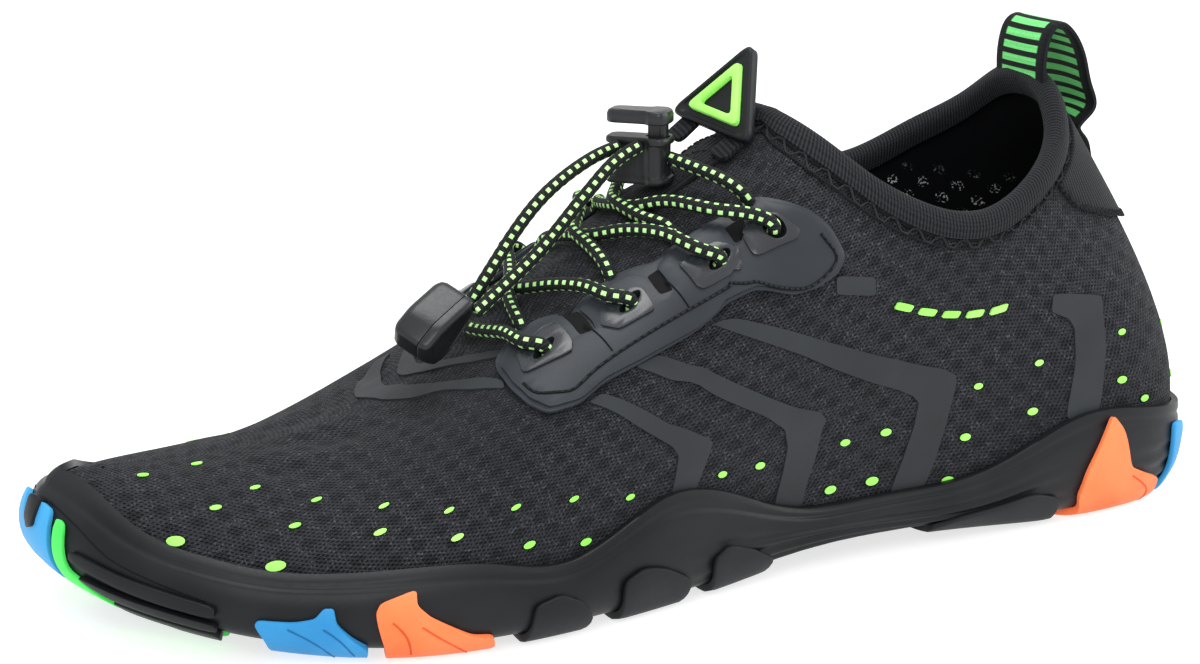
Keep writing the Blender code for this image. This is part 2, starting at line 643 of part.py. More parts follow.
# Lower edge of the binding, as columns of the collar's station, its own station and its share
BINDING_EDGE = [
    (0.0, 0.0, 0.950), (2.0, 2.0, 0.950), (3.0, 3.0, 0.943), (4.0, 4.0, 0.930), (5.0, 5.0, 0.917),
    (6.0, 6.02, 0.912), (7.0, 7.10, 0.910), (7.5, 7.72, 0.925), (7.8, 8.05, 0.955), (8.0, 8.22, 1.0)]


def add_binding():
    half = np.linspace(0, COLLAR_FRONT, 2 * COLLAR_FRONT + 1)
    columns, station, share = np.array(BINDING_EDGE).T
    stations = np.concatenate([half, ROUND - half[-2:0:-1]])
    own = np.interp(half, columns, station)
    low_stations = np.concatenate([own, ROUND - own[-2:0:-1]])
    shares = np.interp(half, columns, share)
    low_shares = np.concatenate([shares, shares[-2:0:-1]])
    edge = on_upper(stations, 1.0, 0.0)
    out = upper_normal(stations, 1.0)
    up = edge - on_upper(low_stations, low_shares, 0.0)
    up /= np.linalg.norm(up, axis=1)[:, None]
    near, far = BINDING_GAP, BINDING_GAP + BINDING_THICKNESS
    rings = [
        on_upper(low_stations, low_shares, near),
        edge + out * near + up * near,
        edge - out * (WALL + 2 * near) + up * near,
        on_upper(low_stations, low_shares, -WALL - 2 * near),
        on_upper(low_stations, low_shares, -WALL - near - far),
        edge - out * (WALL + near + far) + up * far,
        edge + out * far + up * far,
        on_upper(low_stations, low_shares, far)]
    shape = bmesh_from(np.concatenate(rings + rings[:1]), ring_faces(len(rings) + 1, len(stations)))
    return add_object("collar_binding", shape, "rib_tape")


HEEL_PATCH = [
    (-2.64, 0.925), (-1.40, 0.915), (0.0, 0.910), (1.40, 0.915), (2.64, 0.925), (2.50, 0.872),
    (2.34, 0.819), (1.53, 0.697), (0.80, 0.625), (0.0, 0.600), (-0.80, 0.625), (-1.53, 0.697),
    (-2.34, 0.819), (-2.50, 0.872)]

# Pull loop's middle line, as shares of length and heel height, from inside the collar to the back
LOOP_LINE = [
    (0.1568, 0.926), (0.1566, 0.970), (0.1534, 1.015), (0.1476, 1.049), (0.1404, 1.081), (0.1332, 1.106),
    (0.1246, 1.116), (0.1154, 1.106), (0.1061, 1.076), (0.0982, 1.029), (0.0918, 0.970), (0.0870, 0.915)]
LOOP_TAIL = (0.850, 0.810, 0.770, 0.730)


def add_pull_loop():
    free = smooth_curve([(along(x), 0.0, z * HEEL_HEIGHT) for x, z in LOOP_LINE])
    line = free(np.linspace(0, len(LOOP_LINE) - 1, 13))
    clear = SHEET_GAP + PATCH_THICKNESS + GAP + LOOP_THICKNESS / 2
    start = on_upper(0.0, LOOP_TAIL[0], clear)
    reach = np.linalg.norm(on_upper(0.5, LOOP_TAIL[0], clear) - start)
    grid = []
    for place in np.linspace(-0.5, 0.5, 5):
        across = np.array([0.0, place * LOOP_WIDTH, 0.0])
        tail = on_upper(np.full(4, place * LOOP_WIDTH / reach / 2), np.array(LOOP_TAIL), clear)
        grid.append(np.concatenate([line + across, tail]))
    return add_band("pull_loop", np.stack(grid, 1), LOOP_THICKNESS, "webbing")


EYELETS = [(10.19, 0.638), (9.34, 0.620), (8.30, 0.617), (7.54, 0.685)]
EYESTAY = [
    (10.80, 0.732), (10.66, 0.780), (10.34, 0.757), (10.18, 0.720), (9.88, 0.650), (9.80, 0.665),
    (9.98, 0.720), (9.96, 0.752), (9.68, 0.748), (9.43, 0.721), (9.25, 0.673), (9.08, 0.640),
    (8.98, 0.650), (9.11, 0.690), (8.95, 0.716), (8.40, 0.688), (8.12, 0.650), (7.98, 0.652),
    (8.06, 0.700), (7.74, 0.731), (7.16, 0.757), (6.81, 0.748), (6.42, 0.714), (6.49, 0.662),
    (6.86, 0.587), (7.26, 0.590), (7.54, 0.567), (8.08, 0.522), (8.88, 0.521), (9.45, 0.513),
    (9.57, 0.474), (9.73, 0.440), (10.16, 0.502), (10.55, 0.607)]


def circle_on_upper(centre, radius, count=8):
    """Return a circle of a true radius as an outline of station and share."""
    station, share = centre
    here = upper_point(station, share)
    per_station = np.linalg.norm(upper_point(station + 0.01, share) - here) / 0.01
    per_share = np.linalg.norm(upper_point(station, share + 0.01) - here) / 0.01
    turns = np.arange(count) * 2 * math.pi / count
    return np.stack([station + np.cos(turns) * radius / per_station,
                     share + np.sin(turns) * radius / per_share], 1)


def add_eyestays():
    outline = rounded(EYESTAY, 0.25, 1)
    holes = [circle_on_upper(place, EYELET_RADIUS) for place in EYELETS]
    for side, turn in (("outer", 1), ("inner", -1)):
        loops = [outline, *holes]
        if turn < 0:
            loops = [loop[::-1] * (-1, 1) + (ROUND, 0) for loop in loops]
        add_sheet(f"eyestay_{side}", on_upper, loops[0], "film", (0.50, 0.07), SHEET_GAP,
                  SHEET_GAP + EYESTAY_THICKNESS, holes=loops[1:])


STRAP = [(8.44, 0.92), (8.44, 1.08), (9.00, 1.08), (9.00, 0.92)]


def add_strap():
    add_sheet("instep_strap", over_ridge, rounded(STRAP, 0.1, 1), "rib_tape", (0.30, 0.04), GAP,
              GAP + STRAP_THICKNESS)


# Badge, cord lock and lace clip, placed from points on the ridge
def frame_place(origin, across, up):
    """Return a function that places flat points and a level in a tilted frame."""
    across = np.asarray(across, float) / np.linalg.norm(across)
    normal = np.cross(across, up)
    normal /= np.linalg.norm(normal)
    upward = np.cross(normal, across)

    def place(u, v, level):
        return origin + u[:, None] * across + v[:, None] * upward + level[:, None] * normal
    return place


def ridge_point(station):
    return ridge_line(station - COLLAR_FRONT)[0]


BADGE_STATION = 8.61


def add_badge():
    origin = ridge_point(BADGE_STATION) + np.array([0.0, 0.0, BADGE_RISE])
    place = frame_place(origin, (-0.26, 0.95, -0.16), (-0.52, 0.0, 0.85))
    height = BADGE_SIDE * math.sqrt(3) / 2
    corners = [(-BADGE_SIDE / 2, -height / 3), (BADGE_SIDE / 2, -height / 3), (0.0, height * 2 / 3)]
    outline = rounded(corners, 0.12)

    def raised(u, v, level):
        return place(u, v + height / 3, level)
    edge, half = 0.97, BADGE_THICKNESS / 2
    bevel = BADGE_THICKNESS * 0.12
    add_stack("badge", outline, raised,
              [(-half, edge, 0), (bevel - half, 1.0, 0), (half - bevel, 1.0, 0), (half, edge, 0)],
              "moulded_rubber")
    low, high = half + GAP, half + GAP + EMBLEM_THICKNESS
    add_stack("badge_emblem", outline, raised,
              [(low, 0.66, 0), (high, 0.66, 0), (high, 0.38, 0), (low, 0.38, 0)],
              "green_rubber", closed=True)


LOCK_STATION = 9.37
LOCK_RISE = 0.0040
LOCK_FACE = 0.36
LOCK_OUTLINE = [
    (-0.50, -LOCK_FACE), (0.14, -LOCK_FACE), (0.22, -0.50), (0.42, -0.50), (0.50, -0.24), (0.50, 0.24),
    (0.42, 0.50), (0.22, 0.50), (0.14, LOCK_FACE), (-0.50, LOCK_FACE)]
LOCK_BOSS = (0.28 * LOCK_WIDTH, 0.0)


def lock_place():
    """Return the function that places the cord lock's points, its foot at level 0."""
    origin = ridge_point(LOCK_STATION) + np.array([0.0, 0.0, LOCK_RISE])

    def place(u, v, level):
        return origin + np.stack([(v - u) * math.sqrt(0.5), (v + u) * math.sqrt(0.5), level], 1)
    return place


def add_cord_lock():
    place = lock_place()
    outline = rounded(np.array(LOCK_OUTLINE) * (LOCK_WIDTH, LOCK_DEPTH), 0.3, 1)
    flange = LOCK_HEIGHT * 0.14
    top, shaft = LOCK_HEIGHT, LOCK_HEIGHT * 0.25
    add_stack("cord_lock_body", outline, place, [
        (0.0, 0.94, 0), (flange * 0.4, 1.0, 0), (flange, 1.0, 0), (flange * 1.3, 0.90, 0),
        (top - flange * 1.3, 0.90, 0), (top - flange, 1.0, 0), (top, 1.0, 0),
        (top, 0.36, 1), (shaft, 0.36, 1)], "plastic", centre=LOCK_BOSS)
    cap = top + BUTTON_GAP
    add_stack("cord_lock_button", outline, place, [
        (shaft + BUTTON_GAP, 0.30, 1), (cap, 0.30, 1), (cap, 0.97, 0), (cap + BUTTON_HEIGHT * 0.7, 0.97, 0),
        (cap + BUTTON_HEIGHT, 0.88, 0)], "plastic", centre=LOCK_BOSS)


CLIP_STATION = 11.4
CLIP_SIDE = 0.0030
CLIP_OUTLINE = [
    (0.0040, 0.0184), (-0.0040, 0.0149), (-0.0054, 0.0091), (-0.0036, 0.0042), (0.0028, 0.0013),
    (0.0134, 0.0040), (0.0159, 0.0090)]
CLIP_MIDDLE = (0.0042, 0.0091)


def clip_point(u, v, level):
    origin = ridge_point(CLIP_STATION) * (1, 0, 1)
    return origin + np.stack([u + CLIP_MIDDLE[0], CLIP_SIDE + level, v + CLIP_MIDDLE[1]], 1)


def add_clip():
    outline = rounded(np.array(CLIP_OUTLINE) - CLIP_MIDDLE, 0.25)
    seam = CLIP_DEPTH * 0.5
    bevel = CLIP_DEPTH * 0.1
    add_stack("lace_clip_base", outline, clip_point, [
        (0.0, 0.88, 0), (bevel, 1.0, 0), (seam - GAP, 1.0, 0)], "plastic")
    add_stack("lace_clip_lid", outline, clip_point, [
        (seam, 1.0, 0), (CLIP_DEPTH - bevel, 1.0, 0), (CLIP_DEPTH, 0.88, 0)], "plastic")


# Lace: strands over the instep, and two ends from the lock to the clip
def add_strand(name, line, hidden=False):
    """Make a round strand along a line of points."""
    sides = 6
    tangents = np.gradient(line, axis=0)
    tangents /= np.linalg.norm(tangents, axis=1)[:, None]
    across = np.cross(tangents[0], (0.3, 0.2, 1.0))
    rings = []
    for point, tangent in zip(line, tangents):
        across = across - tangent * np.dot(across, tangent)
        across /= np.linalg.norm(across)
        upward = np.cross(tangent, across)
        turns = np.arange(sides) * 2 * math.pi / sides
        circle = np.cos(turns)[:, None] * across + np.sin(turns)[:, None] * upward
        rings.append(point + circle * LACE_RADIUS)
    last = (len(rings) - 1) * sides
    ends = [tuple(reversed(range(sides))), tuple(last + i for i in range(sides))]
    faces = ring_faces(len(rings), sides) + ends
    strand = add_object(name, bmesh_from(np.concatenate(rings), faces), "lace")
    if hidden:
        strand.hide_render = True
        strand.display_type = "WIRE"
    return strand


# Routes over the instep, as columns of station, way across and height of the strand's middle
CROSSINGS = {
    "lower": [(9.34, 0.620, 0.0036), (9.56, 0.650, 0.0048), (9.80, 0.712, 0.0048), (10.05, 0.785, 0.0042),
              (10.28, 0.863, 0.0034), (10.48, 0.945, 0.0028), (10.60, 1.0, 0.0027), (10.64, 1.080, 0.0026),
              (10.58, 1.170, 0.0026)],
    "middle": [(8.30, 0.617, 0.0036), (8.63, 0.650, 0.0048), (8.99, 0.713, 0.0048), (9.28, 0.778, 0.0044),
               (9.58, 0.862, 0.0034), (9.82, 0.935, 0.0028), (9.95, 1.0, 0.0026), (9.90, 1.090, 0.0026),
               (9.76, 1.195, 0.0026)],
    "upper": [(7.54, 0.685, 0.0036), (8.05, 0.680, 0.0050), (8.50, 0.725, 0.0048), (8.88, 0.790, 0.0040),
              (9.19, 0.868, 0.0032), (9.44, 0.935, 0.0026), (9.56, 1.0, 0.0024), (9.48, 1.090, 0.0024),
              (9.33, 1.160, 0.0024), (9.14, 1.215, 0.0022)],
}
BAR = [(10.19, 0.638, 0.0036), (10.40, 0.680, 0.0044), (10.62, 0.765, 0.0040), (10.83, 0.855, 0.0032),
       (10.97, 0.940, 0.0028), (11.02, 1.0, 0.0027), (10.97, 1.060, 0.0028), (10.83, 1.145, 0.0032),
       (10.62, 1.235, 0.0040), (10.40, 1.320, 0.0044), (10.19, 1.362, 0.0036)]


def strand_line(route, count, mirrored=False):
    """Return points at even steps along a route over the instep."""
    route = np.array(route)
    if mirrored:
        route[:, 1] = 2 - route[:, 1]
    points = np.concatenate([over_ridge(station, across, offset) for station, across, offset in route])
    return even_steps(smooth_curve(points), len(points), count)


def even_steps(curve, rows, count):
    fine = curve(np.linspace(0, rows - 1, 400))
    run = np.concatenate([[0], np.cumsum(np.linalg.norm(np.diff(fine, axis=0), axis=1))])
    places = np.linspace(0, run[-1], count)
    return np.stack([np.interp(places, run, fine[:, axis]) for axis in range(3)], 1)


def add_crossings():
    for name, route in CROSSINGS.items():
        cross = add_strand(f"lace_cross_{name}", strand_line(route, 13))
        other = add_strand(f"cutter_{name}", strand_line(route, 13, mirrored=True), hidden=True)
        join = cross.modifiers.new("join", "BOOLEAN")
        join.operation = "UNION"
        join.solver = "EXACT"
        join.object = other
    add_strand("lace_bar", strand_line(BAR, 15))


def lock_point(u, v, level):
    return lock_place()(np.array([u]), np.array([v]), np.array([level]))[0]


def add_top_strands():
    """Add the two strands from the upper tabs to the cord lock."""
    reach = LOCK_WIDTH / 2 + LACE_CLEARANCE
    depth = LOCK_DEPTH * LOCK_FACE + LACE_CLEARANCE
    ends = {
        "outer": (lock_point(reach, 0.0, LOCK_HEIGHT * 0.55), 0.735, 0.795),
        "inner": (lock_point(LOCK_WIDTH * 0.1, -depth, LOCK_HEIGHT * 0.55), 1.265, 1.205)}
    for side, (end, low, high) in ends.items():
        start = over_ridge(8.14, low, 0.0030)[0]
        rise = over_ridge(8.45, high, 0.0046)[0]
        add_strand(f"lace_top_{side}", even_steps(smooth_curve([start, rise, end]), 3, 7))


# Where the lace ends meet the clip, along it and up from its middle
LACE_MEET = (-0.0095, 0.0048)
# Lace ends, as shares of the straight way from lock to clip and rise as a share of its length
LACE_ENDS = {
    "high": ((-0.26, 0.80), (0.25, 0.10), [
        (0.0, 0.0), (0.13, 0.055), (0.31, 0.108), (0.52, 0.133), (0.70, 0.106), (0.86, 0.055), (1.0, 0.0)]),
    "low": ((0.06, 0.84), (0.66, 0.07), [
        (0.0, 0.0), (0.15, 0.035), (0.30, 0.026), (0.45, 0.004), (0.60, -0.015), (0.78, -0.014),
        (1.0, 0.0)]),
}


def lace_end_line(name, count):
    (across, level), (deep, _), rows = LACE_ENDS[name]
    start = lock_point(across * LOCK_WIDTH, LOCK_DEPTH * LOCK_FACE + LACE_RADIUS * 0.4 + LACE_CLEARANCE,
                       level * LOCK_HEIGHT)
    depth = np.array([deep * CLIP_DEPTH + LACE_RADIUS])
    middle = clip_point(np.array([LACE_MEET[0]]), np.array([LACE_MEET[1]]), depth)[0]
    step = middle - start
    rise = np.array([0.0, 0.0, np.linalg.norm(step)])
    points = [start + step * share + rise * lift for share, lift in rows]
    return even_steps(smooth_curve(points), len(points), count)


def add_lace_ends():
    for name in LACE_ENDS:
        line = lace_end_line(name, 12)
        curve = bpy.data.curves.new(f"lace_end_{name}", "CURVE")
        curve.dimensions = "3D"
        curve.bevel_depth = LACE_RADIUS
        curve.bevel_resolution = 2
        curve.use_fill_caps = True
        spline = curve.splines.new("POLY")
        spline.points.add(len(line) - 1)
        for item, point in zip(spline.points, line):
            item.co = (*point, 1.0)
        curve.materials.append(finish("lace", f"lace_end_{name}"))
        bpy.context.scene.collection.objects.link(bpy.data.objects.new(f"lace_end_{name}", curve))


def main():
    for item in list(bpy.data.objects):
        bpy.data.objects.remove(item, do_unlink=True)
    add_upper()
    add_outsole()
    add_insole()
    add_lugs()
    add_pad("heel_pad", HEEL_PAD)
    add_pad("forefoot_pad", FOREFOOT_PAD)
    add_binding()
    add_sheet("heel_patch", on_upper, rounded(HEEL_PATCH, 0.25, 1), "moulded_rubber", (0.45, 0.07),
              SHEET_GAP, SHEET_GAP + PATCH_THICKNESS)
    add_pull_loop()
    add_eyestays()
    add_strap()
    add_badge()
    add_cord_lock()
    add_clip()
    add_crossings()
    add_top_strands()
    add_lace_ends()


main()
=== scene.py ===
# %% [markdown]
# A water shoe is a thin stretch bootie on a moulded rubber cup sole. The frame that is loaded here
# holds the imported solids. Each soft solid is dressed in turn with a finer piece that stands where
# the solid stands, and the hard ones keep their solid and get a finish.
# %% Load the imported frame
import math
from collections import namedtuple
from functools import partial

import bmesh
import bpy
import numpy as np
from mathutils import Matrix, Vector
from mathutils.geometry import delaunay_2d_cdt


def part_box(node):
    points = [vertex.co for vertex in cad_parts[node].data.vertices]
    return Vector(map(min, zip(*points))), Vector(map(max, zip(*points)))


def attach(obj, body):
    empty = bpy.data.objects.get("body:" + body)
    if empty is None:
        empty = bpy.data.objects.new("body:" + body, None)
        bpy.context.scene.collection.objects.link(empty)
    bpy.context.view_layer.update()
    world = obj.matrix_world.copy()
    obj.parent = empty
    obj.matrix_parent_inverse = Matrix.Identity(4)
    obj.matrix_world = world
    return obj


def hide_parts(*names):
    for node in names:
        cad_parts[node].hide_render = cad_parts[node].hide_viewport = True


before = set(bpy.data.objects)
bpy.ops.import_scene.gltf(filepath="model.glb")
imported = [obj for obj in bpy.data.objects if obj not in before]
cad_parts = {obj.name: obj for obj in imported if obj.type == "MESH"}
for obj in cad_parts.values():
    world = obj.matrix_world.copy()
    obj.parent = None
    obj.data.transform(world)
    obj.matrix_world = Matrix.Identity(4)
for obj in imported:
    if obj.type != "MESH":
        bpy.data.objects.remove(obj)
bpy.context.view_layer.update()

# %% [markdown]
# The photo looks down a little on the outer side and the toe points to the left. The camera's place
# came from lining up the heel, the toe, the collar and the loop with the shape tables below. A
# fairly long lens keeps the toe from swelling.
# %% Camera
CAMERA_PLACE = Vector((0.40158, 0.55819, 0.21425))
CAMERA_TARGET = Vector((0.1110, 0.0, 0.0515))
LENS_MM = 87.15

camera_data = bpy.data.cameras.new("camera")
camera_data.lens = LENS_MM
camera_data.sensor_width = 36.0
camera = bpy.data.objects.new("camera", camera_data)
camera.location = CAMERA_PLACE
camera.rotation_euler = (CAMERA_TARGET - CAMERA_PLACE).to_track_quat("-Z", "Y").to_euler()
bpy.context.scene.collection.objects.link(camera)
bpy.context.scene.camera = camera
print("camera to target", round((CAMERA_TARGET - CAMERA_PLACE).length, 3), "m")

# %% [markdown]
# Elastic lace is a round cord, 3 mm thick here. Its two ends leave the cord lock and go into the
# clip that joins them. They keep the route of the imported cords, point for point, drawn as one
# smooth curve each.
# %% Lace ends between the lock and the clip
LACE_DIAMETER = 0.0030
LACE_RADIUS = LACE_DIAMETER / 2
LACE_FACETS = 16
LACE_ENDS = {
    "high": [
        (0.1068, 0.0003, 0.0933), (0.1114, 0.0010, 0.0923), (0.1158, 0.0018, 0.0908),
        (0.1201, 0.0025, 0.0888), (0.1242, 0.0032, 0.0865), (0.1280, 0.0038, 0.0838),
        (0.1315, 0.0044, 0.0807), (0.1348, 0.0050, 0.0773), (0.1379, 0.0055, 0.0737),
        (0.1409, 0.0060, 0.0701), (0.1439, 0.0065, 0.0664), (0.1468, 0.0070, 0.0627)],
    "low": [
        (0.1034, 0.0037, 0.0937), (0.1079, 0.0044, 0.0920), (0.1121, 0.0051, 0.0894),
        (0.1158, 0.0058, 0.0863), (0.1195, 0.0064, 0.0831), (0.1231, 0.0070, 0.0798),
        (0.1268, 0.0077, 0.0765), (0.1305, 0.0083, 0.0734), (0.1345, 0.0090, 0.0706),
        (0.1386, 0.0097, 0.0679), (0.1427, 0.0104, 0.0653), (0.1468, 0.0111, 0.0627)],
}
print("lace ends", len(LACE_ENDS), "points each", len(LACE_ENDS["high"]))


# %% [markdown]
# A shoe's shape comes from its last, and a last is described by sections. The tables hold the same
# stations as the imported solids, so every dressed piece lies exactly where its solid lies. A station
# is a number round the shoe from the heel, along the outer side to the toe and back. A share goes
# up the upper from 0 at the sole to 1 at the collar or the ridge.
# %% Sizes of the last, in metres
LENGTH = 0.280
BALL_WIDTH = 0.100
HEEL_HEIGHT = 0.102
COLLAR_HEIGHT = 0.076
INSTEP_HEIGHT = 0.0985
TOE_HEIGHT = 0.033
HEEL_REST = 0.0405

# Walls and clearances
GAP = 0.0003
WALL = 0.0020
INSOLE_THICKNESS = 0.0030

# Sole
TOE_SPRING = 0.012
ARCH_RISE = 0.006
TREAD_DEPTH = 0.0025
BED_THICKNESS = 0.0060
SIDE_STEP = 0.0014
RIM_WALL = 0.0016
SOLE_FLARE = 0.0045
EDGE_INSET = 0.0050
CENTRE_INSET = 0.10

print("length", LENGTH, "ball width", BALL_WIDTH, "heel height", HEEL_HEIGHT)

# %% [markdown]
# The sole's outline is one row for each station from the heel's back to the toe's tip: how far along
# the length, half widths as shares of the ball width, lift as shares of toe spring and arch rise, and
# how far up the upper's side the sole's rim reaches. Shares keep their shape when a size changes.
# %% Stations of the sole
Station = namedtuple("Station", "along outer inner spring arch_outer arch_inner rim_outer rim_inner")
STATIONS = [
    Station(0.000, 0.000, 0.000, 0.06, 0.0, 0.0, 0.15, 0.15),
    Station(0.018, 0.214, 0.205, 0.04, 0.0, 0.0, 0.16, 0.16),
    Station(0.075, 0.322, 0.315, 0.00, 0.0, 0.0, 0.21, 0.21),
    Station(0.158, 0.350, 0.340, 0.00, 0.0, 0.0, 0.22, 0.24),
    Station(0.249, 0.355, 0.335, 0.00, 0.3, 0.5, 0.09, 0.20),
    Station(0.339, 0.360, 0.315, 0.00, 0.5, 1.2, 0.05, 0.16),
    Station(0.419, 0.375, 0.310, 0.00, 0.4, 1.1, 0.06, 0.15),
    Station(0.499, 0.415, 0.335, 0.00, 0.1, 0.4, 0.145, 0.17),
    Station(0.579, 0.465, 0.385, 0.00, 0.0, 0.0, 0.165, 0.17),
    Station(0.654, 0.500, 0.440, 0.00, 0.0, 0.0, 0.09, 0.14),
    Station(0.729, 0.507, 0.480, 0.00, 0.0, 0.0, 0.13, 0.15),
    Station(0.803, 0.465, 0.495, 0.03, 0.0, 0.0, 0.165, 0.18),
    Station(0.872, 0.370, 0.475, 0.16, 0.0, 0.0, 0.185, 0.24),
    Station(0.923, 0.262, 0.435, 0.36, 0.0, 0.0, 0.23, 0.32),
    Station(0.972, 0.105, 0.335, 0.68, 0.0, 0.0, 0.38, 0.46),
    Station(1.000, -0.115, 0.115, 1.00, 0.0, 0.0, 0.68, 0.68),
]

print("stations of the sole", len(STATIONS))

# %% [markdown]
# The top edge of the upper has the same stations: how far along, half width as a share of the ball
# width, height as shares of the four named heights, the inner side's extra height, and the handles
# of the profile that rises to it from the sole. Up to the eighth it is the collar, then the ridge.
# %% Top edge of the upper
Crown = namedtuple("Crown", "along side heel collar instep toe lift low_out low_up top_on top_out top_down")
CROWNS = [
    Crown(0.132, 0.000, 1.00, 0.00, 0.00, 0.00, 0.00, 0.13, 0.30, -0.057, 0.00, 0.29),
    Crown(0.136, 0.105, 0.97, 0.00, 0.00, 0.00, 0.01, 0.13, 0.30, -0.047, 0.04, 0.29),
    Crown(0.152, 0.200, 0.55, 0.45, 0.00, 0.00, 0.02, 0.10, 0.31, -0.026, 0.06, 0.30),
    Crown(0.188, 0.270, 0.22, 0.79, 0.00, 0.00, 0.03, 0.04, 0.34, -0.010, 0.06, 0.30),
    Crown(0.238, 0.305, 0.00, 1.00, 0.00, 0.00, 0.03, 0.03, 0.34, 0.000, 0.04, 0.30),
    Crown(0.291, 0.300, 0.00, 0.95, 0.05, 0.00, 0.02, 0.03, 0.34, 0.005, 0.06, 0.28),
    Crown(0.341, 0.250, 0.00, 0.62, 0.38, 0.00, 0.01, 0.04, 0.34, 0.010, 0.12, 0.24),
    Crown(0.375, 0.150, 0.00, 0.22, 0.78, 0.00, 0.00, 0.05, 0.36, 0.025, 0.20, 0.18),
    Crown(0.395, 0.000, 0.00, 0.00, 1.00, 0.00, 0.00, 0.05, 0.38, 0.030, 0.26, 0.14),
    Crown(0.473, 0.000, 0.00, 0.00, 0.82, 0.16, 0.00, 0.04, 0.40, 0.010, 0.25, 0.08),
    Crown(0.563, 0.000, 0.00, 0.00, 0.60, 0.37, 0.00, 0.04, 0.42, 0.005, 0.22, 0.08),
    Crown(0.652, -0.005, 0.00, 0.00, 0.36, 0.59, 0.00, 0.05, 0.44, 0.005, 0.21, 0.07),
    Crown(0.741, -0.020, 0.00, 0.00, 0.165, 0.76, 0.00, 0.08, 0.46, 0.005, 0.20, 0.04),
    Crown(0.822, -0.050, 0.00, 0.00, 0.05, 0.93, 0.00, 0.12, 0.52, 0.010, 0.19, 0.01),
    Crown(0.892, -0.080, 0.00, 0.00, 0.00, 1.02, 0.00, 0.22, 0.62, 0.024, 0.15, 0.00),
    Crown(0.946, -0.110, 0.00, 0.00, 0.00, 1.02, 0.00, 0.30, 0.74, 0.042, 0.00, 0.00),
]
COLLAR_FRONT = 8
TOE = len(STATIONS) - 1
ROUND = 2 * TOE
print("stations round the shoe", ROUND)

# %% [markdown]
# A last has no corners, so each table is read through a natural cubic, the curve of a thin bent
# batten. One closed curve runs along the outer side to the toe and back along the inner side.
# %% Smooth curves through the tables
def smooth_curve(rows, closed=False):
    """Return the natural cubic through the rows, as a function of the row number."""
    rows = np.asarray(rows, float)
    count = len(rows)
    weights = np.zeros((count, count))
    slopes = np.zeros_like(rows)
    for i in range(count):
        before, after = (i - 1) % count, (i + 1) % count
        if closed or 0 < i < count - 1:
            weights[i, before] += 1
            weights[i, i] += 4
            weights[i, after] += 1
            slopes[i] = 3 * (rows[after] - rows[before])
        else:
            inward = 1 if i == 0 else -1
            weights[i, i] = 2
            weights[i, i + inward] = 1
            slopes[i] = 3 * inward * (rows[i + inward] - rows[i])
    tangents = np.linalg.solve(weights, slopes)

    def curve(number):
        number = np.atleast_1d(np.asarray(number, float))
        number = number % count if closed else np.clip(number, 0, count - 1)
        low = np.clip(np.floor(number).astype(int), 0, count - 1 if closed else count - 2)
        high = (low + 1) % count
        s = (number - low)[:, None]
        return (rows[low] * (2 * s**3 - 3 * s**2 + 1) + tangents[low] * (s**3 - 2 * s**2 + s)
                + rows[high] * (3 * s**2 - 2 * s**3) + tangents[high] * (s**3 - s**2))
    return curve


def both_sides(table, outer_values, inner_values):
    """Return a closed curve: the outer side's rows to the toe, then the inner side's back."""
    outer = [outer_values(row) for row in table]
    inner = [inner_values(row) for row in table]
    return smooth_curve(outer + inner[TOE - 1:0:-1], closed=True)


def along(share):
    return share * LENGTH - HEEL_REST


def crown_height(row):
    return (row.heel * HEEL_HEIGHT + row.collar * COLLAR_HEIGHT
            + row.instep * INSTEP_HEIGHT + row.toe * TOE_HEIGHT)


def crown_point(row, side):
    rise = row.lift * HEEL_HEIGHT if side < 0 else 0.0
    return along(row.along), side * row.side * BALL_WIDTH, crown_height(row) + rise


plan_outline = both_sides(
    STATIONS,
    lambda row: (along(row.along), row.outer * BALL_WIDTH),
    lambda row: (along(row.along), -row.inner * BALL_WIDTH))
lift_curve = both_sides(
    STATIONS,
    lambda row: (row.spring * TOE_SPRING + row.arch_outer * ARCH_RISE,),
    lambda row: (row.spring * TOE_SPRING + row.arch_inner * ARCH_RISE,))
rim_share = both_sides(STATIONS, lambda row: (row.rim_outer,), lambda row: (row.rim_inner,))
profile_handles = both_sides(
    CROWNS,
    lambda row: (row.low_out, row.low_up, row.top_on, row.top_out, row.top_down),
    lambda row: (row.low_out, row.low_up, row.top_on, -row.top_out, row.top_down))
collar_edge = smooth_curve(
    [crown_point(row, 1) for row in CROWNS[:COLLAR_FRONT + 1]]
    + [crown_point(row, -1) for row in CROWNS[COLLAR_FRONT - 1:0:-1]], closed=True)
ridge_line = smooth_curve(
    [(along(row.along), row.side * BALL_WIDTH, crown_height(row)) for row in CROWNS[COLLAR_FRONT:]])
print("front of the collar, mm", np.round(1000 * ridge_line(0)[0], 1))

# %% [markdown]
# The side of the upper is a bent sheet from the sole to the top edge. At each station it is a cubic
# curve with two handles, as a draughtsman would fair it, so a few numbers shape the whole side. A
# mesh could be sculpted instead, but then the trim would have no exact surface to lie on.
# %% Surface of the upper
def side_station(station):
    """Return a station's number counted from the heel, and which side it is on."""
    station = np.asarray(station, float) % ROUND
    return np.where(station <= TOE, station, ROUND - station), np.where(station <= TOE, 1.0, -1.0)


def sole_lift(station):
    """Return how far the sole stands off the floor, as a column."""
    return np.maximum(lift_curve(station), 0.0)


def plan_normal(station):
    step = plan_outline(station + 0.001) - plan_outline(station - 0.001)
    step /= np.linalg.norm(step, axis=1)[:, None]
    return np.stack([-step[:, 1], step[:, 0]], 1)


def foot_point(station, inset):
    """Return points on the sole's bed, inside the plan outline."""
    plan = plan_outline(station) - plan_normal(station) * inset
    height = sole_lift(station) + TREAD_DEPTH + BED_THICKNESS
    return np.concatenate([plan, height], 1)


